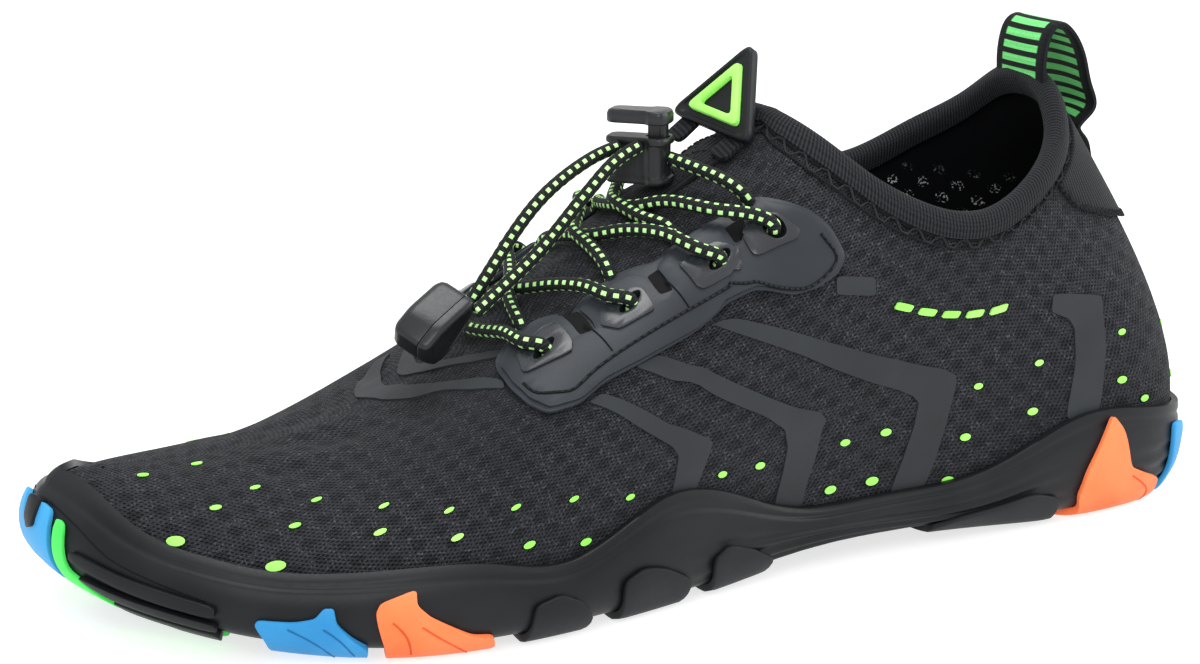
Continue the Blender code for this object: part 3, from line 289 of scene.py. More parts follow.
def crown_line(station):
    """Return points on the collar's edge, or on the ridge over the instep and toe."""
    number, side = side_station(station)
    round_collar = np.where(side > 0, number, 2 * COLLAR_FRONT - number)
    collar = collar_edge(np.where(number < COLLAR_FRONT, round_collar, COLLAR_FRONT))
    ridge = ridge_line(np.maximum(number - COLLAR_FRONT, 0))
    return np.where((number < COLLAR_FRONT)[:, None], collar, ridge)


def upper_point(station, share):
    """Return points on the upper's outer face: share 0 at the sole, 1 at the collar or ridge."""
    station = np.atleast_1d(np.asarray(station, float))
    share = np.broadcast_to(np.asarray(share, float), station.shape)[:, None]
    foot = foot_point(station, SOLE_FLARE)
    top = crown_line(station)
    low_out, low_up, top_on, top_out, top_down = profile_handles(station).T
    rise = top[:, 2] - foot[:, 2]
    out = plan_normal(station)
    lower = foot + np.stack([out[:, 0] * low_out * rise, out[:, 1] * low_out * rise, low_up * rise], 1)
    upper = top + np.stack([top_on * LENGTH, top_out * BALL_WIDTH, -top_down * rise], 1)
    rest = 1 - share
    return rest**3 * foot + 3 * rest**2 * share * lower + 3 * rest * share**2 * upper + share**3 * top


def upper_normal(station, share):
    """Return the upper's outward normals, the same from both sides along the ridge."""
    station = np.atleast_1d(np.asarray(station, float))
    share = np.broadcast_to(np.asarray(share, float), station.shape)
    inner = np.clip(share, 0.01, 0.97)

    def one_side(number):
        across = upper_point(number + 0.01, inner) - upper_point(number - 0.01, inner)
        up = upper_point(number, inner + 0.01) - upper_point(number, inner - 0.01)
        normal = np.cross(up, across)
        return normal / np.linalg.norm(normal, axis=1)[:, None]
    normal = one_side(station)
    on_ridge = (share > 0.999) & (side_station(station)[0] > COLLAR_FRONT - 0.001)
    normal = np.where(on_ridge[:, None], normal + one_side(ROUND - station), normal)
    return normal / np.linalg.norm(normal, axis=1)[:, None]


def on_upper(station, share, offset):
    return upper_point(station, share) + upper_normal(station, share) * offset


print("middle of the toe, mm", np.round(1000 * upper_point(TOE, 0.5)[0], 1))

# %% [markdown]
# The sole's outside runs from its rim down a bellied side to the bottom edge, and then in under the
# foot to a centre line. It is one surface with one pair of numbers, like the upper, so that lugs and
# grooves are laid out flat and wrapped on.
# %% Surface of the sole
def centre_point(station, lift):
    """Return points on the sole's centre line, squeezed in from the heel and the toe."""
    share = (plan_outline(station)[:, 0] + HEEL_REST) / LENGTH
    place = along(CENTRE_INSET + (1 - 2 * CENTRE_INSET) * share)
    numbers = np.linspace(0, TOE, 20 * TOE)
    number = np.interp(place, plan_outline(numbers)[:, 0], numbers)
    outer, inner = plan_outline(number), plan_outline(ROUND - number)
    height = (sole_lift(number) + sole_lift(ROUND - number))[:, 0] / 2 + lift
    return np.stack([place, (outer[:, 1] + inner[:, 1]) / 2, height], 1)


def sole_point(station, around):
    """Return points on the sole's outside: 0 at the rim, 1 at the bottom edge, 2 in the middle."""
    station = np.atleast_1d(np.asarray(station, float))
    around = np.broadcast_to(np.asarray(around, float), station.shape)
    rim = on_upper(station, rim_share(station)[:, 0], GAP + RIM_WALL)
    plan, out = plan_outline(station), plan_normal(station)
    floor = sole_lift(station)[:, 0] + TREAD_DEPTH
    edge = np.column_stack([plan - out * EDGE_INSET, floor])
    rise = rim[:, 2] - floor
    rim_inset = np.sum((rim[:, :2] - plan) * out, 1)
    belly = plan + out * ((EDGE_INSET - rim_inset) / 6)[:, None]
    upper = np.column_stack([belly, floor + 0.75 * rise])
    lower = np.column_stack([belly, floor + 0.12 * rise])
    s = np.clip(around, 0, 1)[:, None]
    side = (1 - s)**3 * rim + 3 * (1 - s)**2 * s * upper + 3 * (1 - s) * s**2 * lower + s**3 * edge
    inward = np.clip(around - 1, 0, 1)[:, None]
    return np.where(inward > 0, edge + inward * (centre_point(station, TREAD_DEPTH) - edge), side)


def on_sole(station, around, offset):
    station = np.atleast_1d(np.asarray(station, float))
    around = np.broadcast_to(np.asarray(around, float), station.shape)
    inner = np.clip(around, 0.02, 1.98)
    across = sole_point(station + 0.01, inner) - sole_point(station - 0.01, inner)
    down = sole_point(station, inner + 0.01) - sole_point(station, inner - 0.01)
    normal = np.cross(across, down)
    normal /= np.linalg.norm(normal, axis=1)[:, None]
    return sole_point(station, around) + normal * offset


print("widest rim, mm", round(1000 * np.ptp(sole_point(np.arange(0.0, ROUND, 0.1), 0.0)[:, 1])))

# %% [markdown]
# Knit and print patterns are laid out in millimetres along the cloth, so the cloth needs true
# lengths. These functions give each place on the upper, the sole or a round cord the distance along
# and across it, which the materials then read as their map.
# %% Cloth lengths
MAP_COLUMNS = 60
MAP_ROWS = 80
MAP_STATIONS = np.linspace(0, ROUND, 10 * MAP_COLUMNS + 1)
MAP_SHARES = np.linspace(0, 1, MAP_ROWS + 1)
BALL_COLUMN = 20


def run_along(line):
    """Return how far along a line each of its points is."""
    return np.concatenate([[0], np.cumsum(np.linalg.norm(np.diff(line, axis=0), axis=1))])


RUN_AT = run_along(upper_point(MAP_STATIONS, 0.45))
RISE_AT = np.stack([
    run_along(upper_point(np.full(MAP_ROWS + 1, station), MAP_SHARES)) for station in MAP_STATIONS[::10]])
print("girth at the ball, mm", round(2000 * RISE_AT[BALL_COLUMN, -1]), "run, mm", round(1000 * RUN_AT[-1]))


def cloth_map(station, share):
    """Return how far along and how far up the cloth a place on the upper is, in metres."""
    station = np.asarray(station, float)
    share = np.clip(np.asarray(share, float), 0, 1)
    run = np.interp(station % ROUND, MAP_STATIONS, RUN_AT)
    column = (station % ROUND) / ROUND * MAP_COLUMNS
    low = np.clip(np.floor(column).astype(int), 0, MAP_COLUMNS - 1)
    level = share * MAP_ROWS
    under = np.clip(np.floor(level).astype(int), 0, MAP_ROWS - 1)
    s, t = column - low, level - under
    rise = (RISE_AT[low, under] * (1 - s) * (1 - t) + RISE_AT[low + 1, under] * s * (1 - t)
            + RISE_AT[low, under + 1] * (1 - s) * t + RISE_AT[low + 1, under + 1] * s * t)
    return np.stack([run, rise], -1)


SOLE_SIDE = 0.020


def sole_map(station, around):
    run = np.interp(np.asarray(station, float) % ROUND, MAP_STATIONS, RUN_AT)
    return np.stack([run, np.asarray(around, float) * SOLE_SIDE], -1)


# %% [markdown]
# Every piece starts as points and faces, because its shape follows from the tables. One function
# makes the mesh, gives it its map in metres, its finish and its body. A real die-cut or moulded edge
# is never quite sharp, so thick pieces get a small bevel afterwards.
# %% Pieces from points
def add_piece(name, points, faces, material, slot, maps=None, replaces=(), body="shoe", angle=35):
    """Make a piece that rides on a body, with a map in metres."""
    mesh = bpy.data.meshes.new(name)
    mesh.from_pydata([tuple(p) for p in points], [], [tuple(int(i) for i in f) for f in faces])
    if maps is not None:
        layer = mesh.uv_layers.new(name="cloth")
        ends = np.empty(len(mesh.loops), dtype=np.int32)
        mesh.loops.foreach_get("vertex_index", ends)
        layer.data.foreach_set("uv", np.asarray(maps, float)[ends].ravel())
    shape = bmesh.new()
    shape.from_mesh(mesh)
    bmesh.ops.recalc_face_normals(shape, faces=shape.faces)
    shape.to_mesh(mesh)
    shape.free()
    mesh.shade_smooth()
    mesh.set_sharp_from_angle(angle=math.radians(angle))
    mesh.materials.append(material)
    piece = bpy.data.objects.new(name, mesh)
    bpy.context.scene.collection.objects.link(piece)
    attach(piece, body)
    if replaces:
        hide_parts(*replaces)
    return piece


def bevel_edges(piece, width, segments=2):
    """Round a piece's edges and keep the result in its mesh."""
    bevel = piece.modifiers.new("edge", "BEVEL")
    bevel.width = width
    bevel.segments = segments
    bevel.limit_method = "ANGLE"
    bevel.angle_limit = math.radians(40)
    bevel.harden_normals = False
    graph = bpy.context.evaluated_depsgraph_get()
    mesh = bpy.data.meshes.new_from_object(piece.evaluated_get(graph))
    piece.modifiers.clear()
    piece.data = mesh
    mesh.shade_smooth()
    mesh.set_sharp_from_angle(angle=math.radians(50))


def ring_quads(rings, columns, closed_ring=False, closed_column=True):
    """Return quads between the rings of a grid of points."""
    faces = []
    last_ring = rings if closed_ring else rings - 1
    last_column = columns if closed_column else columns - 1
    for ring in range(last_ring):
        above = (ring + 1) % rings
        for column in range(last_column):
            beside = (column + 1) % columns
            faces.append((ring * columns + column, ring * columns + beside,
                          above * columns + beside, above * columns + column))
    return faces


print("faces in a grid of 3 by 4", len(ring_quads(3, 4, closed_column=False)))

# %% [markdown]
# Most of the trim is cut from sheet. Its outline is drawn flat in stations and shares, its corners
# are softened, and it is filled with a fine net of triangles that bends with the surface below.
# %% Outlines and their nets
def rounded(corners, softness=0.3, steps=4):
    """Return an outline with each corner replaced by a short curve."""
    corners = np.asarray(corners, float)
    points = []
    for i, corner in enumerate(corners):
        start = corner + (corners[i - 1] - corner) * softness
        end = corner + (corners[(i + 1) % len(corners)] - corner) * softness
        for s in np.linspace(0, 1, steps + 1):
            points.append((1 - s)**2 * start + 2 * (1 - s) * s * corner + s**2 * end)
    return np.array(points)


def split_long(points, longest):
    result = []
    for i, point in enumerate(points):
        after = points[(i + 1) % len(points)]
        count = max(1, math.ceil(np.linalg.norm(after - point) / longest))
        result += [point + (after - point) * k / count for k in range(count)]
    return np.array(result)


def counterclockwise(loop):
    after = np.roll(loop, -1, axis=0)
    return loop if np.sum(loop[:, 0] * after[:, 1] - loop[:, 1] * after[:, 0]) > 0 else loop[::-1]


def inside(points, outline, margin):
    """Return which points lie inside an outline and further than a margin from its edge."""
    after = np.roll(outline, -1, axis=0)
    x, y = points[:, 0, None], points[:, 1, None]
    crosses = (outline[:, 1] > y) != (after[:, 1] > y)
    rise = np.where(np.abs(after[:, 1] - outline[:, 1]) < 1e-12, 1e-12, after[:, 1] - outline[:, 1])
    hits = crosses & (x < outline[:, 0] + (y - outline[:, 1]) * (after[:, 0] - outline[:, 0]) / rise)
    edge = after - outline
    length = np.maximum(np.sum(edge * edge, 1), 1e-12)
    share = np.clip(((x - outline[:, 0]) * edge[:, 0] + (y - outline[:, 1]) * edge[:, 1]) / length, 0, 1)
    away = np.hypot(x - outline[:, 0] - edge[:, 0] * share, y - outline[:, 1] - edge[:, 1] * share).min(1)
    return (np.sum(hits, 1) % 2 == 1) & (away > margin)


def fill_outline(loops):
    """Return points and triangles that fill the first loop around the others."""
    low, high = np.floor(loops[0].min(0)), np.ceil(loops[0].max(0))
    across, along_net = np.meshgrid(np.arange(low[0], high[0], 0.9), np.arange(low[1], high[1], 1.0))
    net = np.stack([across.ravel(), along_net.ravel()], 1)
    net = net[inside(net, loops[0], 0.4)]
    for loop in loops[1:]:
        middle, radius = loop.mean(0), np.linalg.norm(loop - loop.mean(0), axis=1).max()
        net = net[np.linalg.norm(net - middle, axis=1) > radius + 0.3]
    points = np.concatenate([*loops, net])
    ends = np.cumsum([len(loop) for loop in loops])
    faces = [list(range(end - len(loop), end)) for loop, end in zip(loops, ends)]
    flat, _, triangles, _, _, origins = delaunay_2d_cdt([Vector(p) for p in points], [], faces, 1, 1e-6)
    triangles = [tuple(triangle) for triangle, origin in zip(triangles, origins) if origin == [0]]
    return np.array([tuple(point) for point in flat]), triangles


square = np.array([(0.0, 0.0), (6.0, 0.0), (6.0, 6.0), (0.0, 6.0)])
print("triangles in a net of 6 by 6", len(fill_outline([split_long(square, 1.0)])[1]))

# %% [markdown]
# The flat net is then lifted off its surface twice, once for the underside and once for the face,
# and the two are closed round the edge. A cord or a thread is a round tube along a smooth line.
# %% Sheets and tubes
def add_sheet(name, surface, outline, material, slot, pitch, low, high,
              holes=(), mapping=cloth_map, **options):
    """Make a closed sheet over a surface, from an outline given in its two coordinates."""
    pitch = np.array(pitch)
    loops = [split_long(counterclockwise(np.asarray(loop) / pitch), 1.0) for loop in (outline, *holes)]
    flat, triangles = fill_outline(loops)
    places = flat * pitch
    count = len(places)
    heights = [h(places[:, 0], places[:, 1]) if callable(h) else np.full(count, h) for h in (low, high)]
    points = np.concatenate([surface(places[:, 0], places[:, 1], h[:, None]) for h in heights])
    edges = {(t[k], t[(k + 1) % 3]) for t in triangles for k in range(3)}
    rim = sorted((a, b) for a, b in edges if (b, a) not in edges)
    faces = triangles + [tuple(i + count for i in reversed(t)) for t in triangles]
    faces += [(b, a, a + count, b + count) for a, b in rim]
    maps = np.tile(mapping(places[:, 0], places[:, 1]), (2, 1))
    return add_piece(name, points, faces, material, slot, maps, **options)


def even_steps(curve, rows, count):
    """Return points at even steps along a smooth curve."""
    fine = curve(np.linspace(0, rows - 1, 800))
    run = run_along(fine)
    places = np.linspace(0, run[-1], count)
    return np.stack([np.interp(places, run, fine[:, axis]) for axis in range(3)], 1)


def tube_parts(line, radius, sides):
    """Return the points, faces and map of a round tube along a line."""
    line = np.asarray(line, float)
    tangents = np.gradient(line, axis=0)
    tangents /= np.linalg.norm(tangents, axis=1)[:, None]
    across = np.cross(tangents[0], (0.3, 0.2, 1.0))
    turns = np.linspace(0, 2 * math.pi, sides + 1)
    points, maps = [], []
    for point, tangent, length in zip(line, tangents, run_along(line)):
        across = across - tangent * np.dot(across, tangent)
        across /= np.linalg.norm(across)
        upward = np.cross(tangent, across)
        points.append(point + radius * (np.cos(turns)[:, None] * across + np.sin(turns)[:, None] * upward))
        maps.append(np.stack([turns / (2 * math.pi), np.full(sides + 1, length)], 1))
    faces = ring_quads(len(line), sides + 1, closed_column=False)
    last = (len(line) - 1) * (sides + 1)
    faces += [tuple(reversed(range(sides))), tuple(last + i for i in range(sides))]
    return np.concatenate(points), faces, np.concatenate(maps)


def add_tubes(name, lines, radius, sides, material, slot, **options):
    """Make one piece from several round tubes."""
    points, faces, maps, start = [], [], [], 0
    for line in lines:
        p, f, m = tube_parts(line, radius, sides)
        faces += [tuple(i + start for i in face) for face in f]
        points.append(p)
        maps.append(m)
        start += len(p)
    return add_piece(name, np.concatenate(points), faces, material, slot, np.concatenate(maps), **options)


# %% [markdown]
# A finish is a small net of shader nodes. One helper adds any node with its settings and its links.
# Colours are picked as sRGB codes from the photo and turned to linear, because the renderer works
# with linear light. Numbers that are the same all over are set on the shader itself.
# %% One helper for every node
RGBA = {"output": 2, "data_type": "RGBA"}
SMOOTH = {"interpolation_type": "SMOOTHSTEP"}


def to_linear(code):
    """Return an sRGB code such as #FFFFFF as a linear colour."""
    values = [int(code[i:i + 2], 16) / 255 for i in (1, 3, 5)]
    return (*[v / 12.92 if v <= 0.04045 else ((v + 0.055) / 1.055)**2.4 for v in values], 1.0)


def add_node(tree, kind, *values, output=0, **settings):
    """Add a node, set its settings, link or set its inputs, and return one output."""
    node = tree.nodes.new("ShaderNode" + kind)
    for key, value in settings.items():
        setattr(node, key, value)
    inputs = values[0] if values and isinstance(values[0], dict) else dict(enumerate(values))
    for key, value in inputs.items():
        if isinstance(value, bpy.types.NodeSocket):
            tree.links.new(value, node.inputs[key])
        else:
            node.inputs[key].default_value = to_linear(value) if isinstance(value, str) else value
    return node.outputs[output]


def new_finish(name, roughness, ior=1.5, sheen=0.0, coat=0.0, specular=0.5):
    """Return a material, its shader, and the helper that adds nodes to its tree."""
    material = bpy.data.materials.new(name)
    material.use_nodes = True
    shader = material.node_tree.nodes["Principled BSDF"]
    shader.inputs["Roughness"].default_value = roughness
    shader.inputs["IOR"].default_value = ior
    shader.inputs["Sheen Weight"].default_value = sheen
    shader.inputs["Sheen Roughness"].default_value = 0.5
    shader.inputs["Coat Weight"].default_value = coat
    shader.inputs["Coat Roughness"].default_value = 0.25
    shader.inputs["Specular IOR Level"].default_value = specular
    return material, shader, partial(add_node, material.node_tree)


def finish_with(shader, add, colour, height, distance, strength, roughness=None):
    """Link a colour, a bump with its depth in metres and a roughness to the shader."""
    links = shader.id_data.links
    bump = add("Bump", {"Height": height, "Distance": distance, "Strength": strength})
    links.new(colour, shader.inputs["Base Color"])
    links.new(bump, shader.inputs["Normal"])
    if roughness is not None:
        links.new(roughness, shader.inputs["Roughness"])


print("white in linear light", to_linear("#FFFFFF")[:3])

# %% [markdown]
# Every pattern here is built from the same few waves. The piece's map gives two lengths in
# millimetres, a wave repeats along one of them, and noise that is fixed to the piece bends it or
# breaks it up, so that no two stitches are quite the same.
# %% Patterns in millimetres
def cloth_axes(add):
    """Return the map's two lengths in millimetres."""
    place = add("UVMap", uv_map="cloth")
    lengths = [add("SeparateXYZ", place, output=axis) for axis in (0, 1)]
    return [add("Math", length, 1000.0, operation="MULTIPLY") for length in lengths]


def wave(add, length_mm, pitch_mm):
    """Return a wave from -1 to 1 that repeats at a pitch along a length."""
    turns = add("Math", length_mm, 2 * math.pi / pitch_mm, operation="MULTIPLY")
    return add("Math", turns, operation="COSINE")


def stripes(add, length_mm, pitch_mm):
    """Return the same wave from 0 to 1."""
    return add("Math", wave(add, length_mm, pitch_mm), 0.5, 0.5, operation="MULTIPLY_ADD")


def from_middle(add, steps):
    """Return how far a count of steps is from the middle of its own step."""
    share = add("Math", steps, operation="FRACT")
    return add("Math", add("Math", share, 0.5, operation="SUBTRACT"), operation="ABSOLUTE")


def grain(add, scale, detail=2.0):
    """Return noise fixed to the piece, with so many spots to a metre."""
    place = add("TexCoord", output=3)
    return add("TexNoise", {"Vector": place, "Scale": scale, "Detail": detail})


# %% [markdown]
# Air mesh is warp-knitted polyester. Knits scatter light at grazing angles, so they get a little
# sheen and high roughness. The pits are 1.15 by 0.85 mm, and every few rows they open into clusters.
# An image could carry this, but nodes in millimetres stay sharp at any distance.
# %% Air mesh
def air_mesh():
    """Warp-knitted polyester: fine pits, with more open clusters in staggered rows."""
    material, shader, add = new_finish("air_mesh_knit", 0.85, sheen=0.03, specular=0.10)
    along_mm, up_mm = cloth_axes(add)
    slant = add("Math", up_mm, 0.55, along_mm, operation="MULTIPLY_ADD")
    slant = add("Math", grain(add, 90.0), 0.9, slant, operation="MULTIPLY_ADD")
    pits = add("Math", stripes(add, slant, 1.15), stripes(add, up_mm, 0.85), operation="MULTIPLY")
    checks = add("Math", wave(add, along_mm, 9.0), wave(add, up_mm, 6.4), operation="MULTIPLY")
    clusters = add("MapRange", checks, 0.05, 0.65, **SMOOTH)
    opening = add("Math", clusters, 0.55, 0.75, operation="MULTIPLY_ADD")
    open_pits = add("Math", pits, opening, operation="MULTIPLY")
    # Painted shade: the pits, the knit's openings, are coloured near black
    dark = add("MapRange", open_pits, 0.05, 0.60, **SMOOTH)
    colour = add("Mix", {0: dark, 6: "#28292D", 7: "#040405"}, **RGBA)
    fleck = add("MapRange", grain(add, 1900.0, 1.0), 0.58, 0.72, **SMOOTH)
    fleck = add("Math", fleck, 0.40, operation="MULTIPLY")
    colour = add("Mix", {0: fleck, 6: colour, 7: "#5E6168"}, **RGBA)
    # More painted shade in the open clusters
    deep = add("Math", clusters, 0.38, operation="MULTIPLY")
    colour = add("Mix", {0: deep, 6: colour, 7: "#0A0B0C"}, **RGBA)
    patch = add("MapRange", grain(add, 22.0, 3.0), 0.35, 0.75, 0.0, 0.30, **SMOOTH)
    colour = add("Mix", {0: patch, 6: colour, 7: "#15171A"}, **RGBA)
    height = add("Math", 1.0, open_pits, operation="SUBTRACT")
    height = add("Math", grain(add, 1500.0, 1.0), 0.35, height, operation="MULTIPLY_ADD")
    finish_with(shader, add, colour, height, 0.00030, 0.8)
    return material


# %% [markdown]
# Knitted tapes and threads are all ribs: yarn that runs one way and catches the light on one side.
# The same net of nodes serves a wide elastic, a webbing and a sewing thread with another pitch.
# %% Ribbed tape
def ribbed_tape(name="ribbed_tape", pitch=0.85, light="#292B2F", dark="#08090A"):
    """Knitted elastic tape: ribs that run over the folded edge."""
    material, shader, add = new_finish(name, 0.85, sheen=0.04, specular=0.10)
    along_mm, up_mm = cloth_axes(add)
    bent = add("Math", grain(add, 120.0), 0.5, along_mm, operation="MULTIPLY_ADD")
    ribs = add("Math", stripes(add, bent, pitch), 0.75, operation="MULTIPLY")
    weave = add("Math", stripes(add, up_mm, 0.7), 0.25, ribs, operation="MULTIPLY_ADD")
    soft = add("Math", weave, 0.7, operation="MULTIPLY")
    tone = add("Math", grain(add, 1900.0, 1.0), 0.4, soft, operation="MULTIPLY_ADD")
    # The ribs' light and dark stripes are painted highlight and shade; the noise adds random tone
    share = add("MapRange", tone, 0.15, 0.95, **SMOOTH)
    colour = add("Mix", {0: share, 6: dark, 7: light}, **RGBA)
    finish_with(shader, add, colour, tone, 0.00030, 0.7)
    return material


# %% [markdown]
# The lining is smooth tricot. Where the photo looks into the heel, small bright spots of painted light,
# where light comes through the open knit, show in staggered rows, low on the side, so they fade out toward
# the collar.
# %% Lining
def lining_cloth():
    """Smooth tricot lining with small spots of painted light in staggered rows, low on the sides."""
    material, shader, add = new_finish("tricot_lining", 0.9, sheen=0.0, specular=0.05)
    along_mm, up_mm = cloth_axes(add)
    checks = add("Math", wave(add, along_mm, 11.0), wave(add, up_mm, 8.0), operation="MULTIPLY")
    spots = add("MapRange", checks, 0.30, 0.60, **SMOOTH)
    pins = add("MapRange", grain(add, 1700.0, 1.0), 0.56, 0.64, **SMOOTH)
    low = add("MapRange", up_mm, 62.0, 70.0, 1.0, 0.0, **SMOOTH)
    light = add("Math", add("Math", spots, pins, operation="MULTIPLY"), low, operation="MULTIPLY")
    colour = add("Mix", {0: light, 6: "#0D0E10", 7: "#C4C6CA"}, **RGBA)
    finish_with(shader, add, colour, grain(add, 1400.0, 1.0), 0.0001, 0.4)
    return material


# %% [markdown]
# The lace is elastic cord in a braided sheath. Its green picks are short ticks 2.2 mm apart, in four
# rows round the cord, each half a step behind the next. They are drawn from the cord's own map.
# %% Braided lace
def lace_sheath():
    """Braided sheath: black yarn with green picks that stagger from row to row."""
    material, shader, add = new_finish("braided_lace", 0.7, sheen=0.02, specular=0.15)
    turn_mm, along_mm = cloth_axes(add)
    turn = add("Math", turn_mm, 0.004, operation="MULTIPLY")
    odd = add("Math", add("Math", turn, operation="FLOOR"), 2.0, operation="MODULO")
    step = add("Math", along_mm, 1 / 2.2, operation="MULTIPLY")
    step = add("Math", odd, 0.5, step, operation="MULTIPLY_ADD")
    in_length = add("MapRange", from_middle(add, step), 0.20, 0.25, 1.0, 0.0, **SMOOTH)
    in_width = add("MapRange", from_middle(add, turn), 0.18, 0.24, 1.0, 0.0, **SMOOTH)
    tick = add("Math", in_length, in_width, operation="MULTIPLY")
    slant = add("Math", turn_mm, 0.004, along_mm, operation="MULTIPLY_ADD")
    braid = stripes(add, slant, 0.8)
    black = add("Mix", {0: braid, 6: "#0B0C0D", 7: "#1E2022"}, **RGBA)
    green = add("Mix", {0: grain(add, 2500.0, 1.0), 6: "#97DE7C", 7: "#CDF7AE"}, **RGBA)
    colour = add("Mix", {0: tick, 6: black, 7: green}, **RGBA)
    low = add("Math", braid, 0.5, operation="MULTIPLY")
    height = add("Math", tick, 0.7, low, operation="MULTIPLY_ADD")
    finish_with(shader, add, colour, height, 0.00015, 0.6)
    return material


# %% [markdown]
# The pull loop is woven tape: green bars 2.9 mm apart on black, with a black edge on each side. The
# yarn is 0.45 mm, about as fine as the render can show.
# %% Bar webbing
def loop_webbing():
    """Woven tape: green bars between black ones, and a black edge on each side."""
    material, shader, add = new_finish("bar_webbing", 0.75, sheen=0.02, specular=0.12)
    across_mm, along_mm = cloth_axes(add)
    bar = from_middle(add, add("Math", along_mm, 1 / 2.9, operation="MULTIPLY"))
    in_bar = add("MapRange", bar, 0.26, 0.30, 1.0, 0.0, **SMOOTH)
    from_edge = add("Math", across_mm, operation="ABSOLUTE")
    in_width = add("MapRange", from_edge, 6.4, 6.9, 1.0, 0.0, **SMOOTH)
    green_share = add("Math", in_bar, in_width, operation="MULTIPLY")
    yarn = stripes(add, across_mm, 0.45)
    half_yarn = add("Math", yarn, 0.5, operation="MULTIPLY")
    # Painted highlight: each yarn, green or black, is lighter along its middle; the noise adds random tone
    lit = add("Math", grain(add, 2200.0, 1.0), 0.5, half_yarn, operation="MULTIPLY_ADD")
    green = add("Mix", {0: lit, 6: "#3FB45A", 7: "#8CEC8E"}, **RGBA)
    black = add("Mix", {0: yarn, 6: "#08090A", 7: "#17191C"}, **RGBA)
    colour = add("Mix", {0: green_share, 6: black, 7: green}, **RGBA)
    picks = add("Math", stripes(add, along_mm, 1.1), 0.5, operation="MULTIPLY")
    height = add("Math", yarn, 0.4, picks, operation="MULTIPLY_ADD")
    finish_with(shader, add, colour, height, 0.0002, 0.6)
    return material


# %% [markdown]
# Rubber, film and plastic. A mould is spark eroded, and its grain is finer than a millimetre, so it
# only breaks up a soft, broad highlight. Each colour is its own compound, pressed in its own place,
# and small scuffs show on it a shade lighter.
# %% Moulded finishes
def rubber(name, dark, light, roughness=0.55, depth=0.00005, coat=0.0, marks=0.25, gloss=0.16):
    """Moulded surface: a fine grain, broad shades of the colour and a few scuffs."""
    material, shader, add = new_finish(name, roughness, ior=1.52, coat=coat, specular=gloss)
    fine = grain(add, 1400.0)
    broad = add("MapRange", grain(add, 35.0, 3.0), 0.30, 0.70, **SMOOTH)
    colour = add("Mix", {0: broad, 6: dark, 7: light}, **RGBA)
    scuff = add("MapRange", grain(add, 160.0, 4.0), 0.58, 0.78, **SMOOTH)
    scuff = add("Math", scuff, marks, operation="MULTIPLY")
    colour = add("Mix", {0: scuff, 6: colour, 7: light}, **RGBA)
    rough = add("Math", fine, 0.18, roughness - 0.09, operation="MULTIPLY_ADD")
    finish_with(shader, add, colour, fine, depth, 0.5, rough)
    return material


# %% [markdown]
# The cloths come first: what is knitted or woven looks soft and dull, and only its pitch, its shade
# and the depth of its ribs tell one from the other.
# %% Cloths of this shoe
# Polyester air mesh: black, with painted shade that makes its fine pits darker than the yarn
air_mesh_knit = air_mesh()
# Elastic binding: ribs that catch the light on the fold
binding_tape = ribbed_tape()
# Woven polyester strap: wider ribs, a little darker
strap_tape = ribbed_tape("woven_strap", 1.1, "#24262A", "#0A0B0C")
# Padded knit of the heel patch: wide soft ribs with little contrast
patch_cloth = ribbed_tape("patch_knit", 1.4, "#232529", "#0F1012")
# Tricot lining: deep black with pale spots of painted light
lining = lining_cloth()
# Braided sheath: black with bright green picks
braided_lace = lace_sheath()
# Woven bar tape: green rungs on black
bar_webbing = loop_webbing()
# Spun polyester thread, paler and darker: ribs finer than the cloth's
thread = ribbed_tape("polyester_thread", 0.5, "#3A3C41", "#121316")
dark_thread = ribbed_tape("dark_thread", 0.5, "#1C1E21", "#08090A")
# Knitted face of the insole foam: nearly black, as it lies in the shade
foam_cloth = ribbed_tape("insole_cloth", 1.0, "#17181B", "#0D0E10")
print("cloths", len(bpy.data.materials))

# %% [markdown]
# Then what comes out of a mould or a press. The side wall is a little smoother than the tread, the
# film is flat and dull, and the frames of the eyelets and the plastic have the only clear shine.
# %% Rubbers, films and plastics of this shoe
# Moulded rubber of the side wall and of the tread: black with a broad, weak highlight
side_rubber = rubber("moulded_side_rubber", "#101213", "#1A1C1F", 0.42, gloss=0.17)
tread_rubber = rubber("moulded_tread_rubber", "#141517", "#202225", 0.55)
# Polyurethane film welded to the knit: a flat grey, smoother than the cloth
welded_film = rubber("welded_film", "#27292C", "#2F3235", 0.55, 0.00003, marks=0.1)
# Moulded film of the eyestays: cool grey with a satin edge
stay_rubber = rubber("moulded_stay_film", "#24272B", "#2C3035", 0.42, 0.00004, coat=0.03, gloss=0.18)
# Frames pressed against polished steel: the same grey with a gloss
frame_film = rubber("glossy_eyelet_frame", "#1E2024", "#282B30", 0.28, 0.00003, coat=0.35, gloss=0.25)
# Coloured rubber compounds: even and matte, with pale scuffs
blue_rubber = rubber("blue_rubber", "#2A80B8", "#3F9BD2", 0.50, 0.00008, marks=0.3)
orange_rubber = rubber("orange_rubber", "#F26A38", "#FB8250", 0.50, 0.00008, marks=0.3)
green_rubber = rubber("green_rubber", "#30CC48", "#52E664", 0.50, 0.00008, marks=0.3)
# Painted shade: the same compounds darkened for the bottom of a cut, where less light comes in
blue_shade = rubber("blue_rubber_painted_groove_shade", "#1B5E8E", "#2672A6", 0.60)
orange_shade = rubber("orange_rubber_painted_groove_shade", "#B8431F", "#D4582E", 0.60)
# Raised screen print: bright green, a little smoother than rubber
print_green = rubber("raised_green_print", "#8CEB58", "#A6F574", 0.45, 0.00003, marks=0.2)
# Injection moulded acetal of the lock, sparked in its mould: coarse and matte
lock_plastic = rubber("fine_matte_plastic", "#0E0F10", "#191B1D", 0.40, 0.00012, coat=0.02, gloss=0.3)
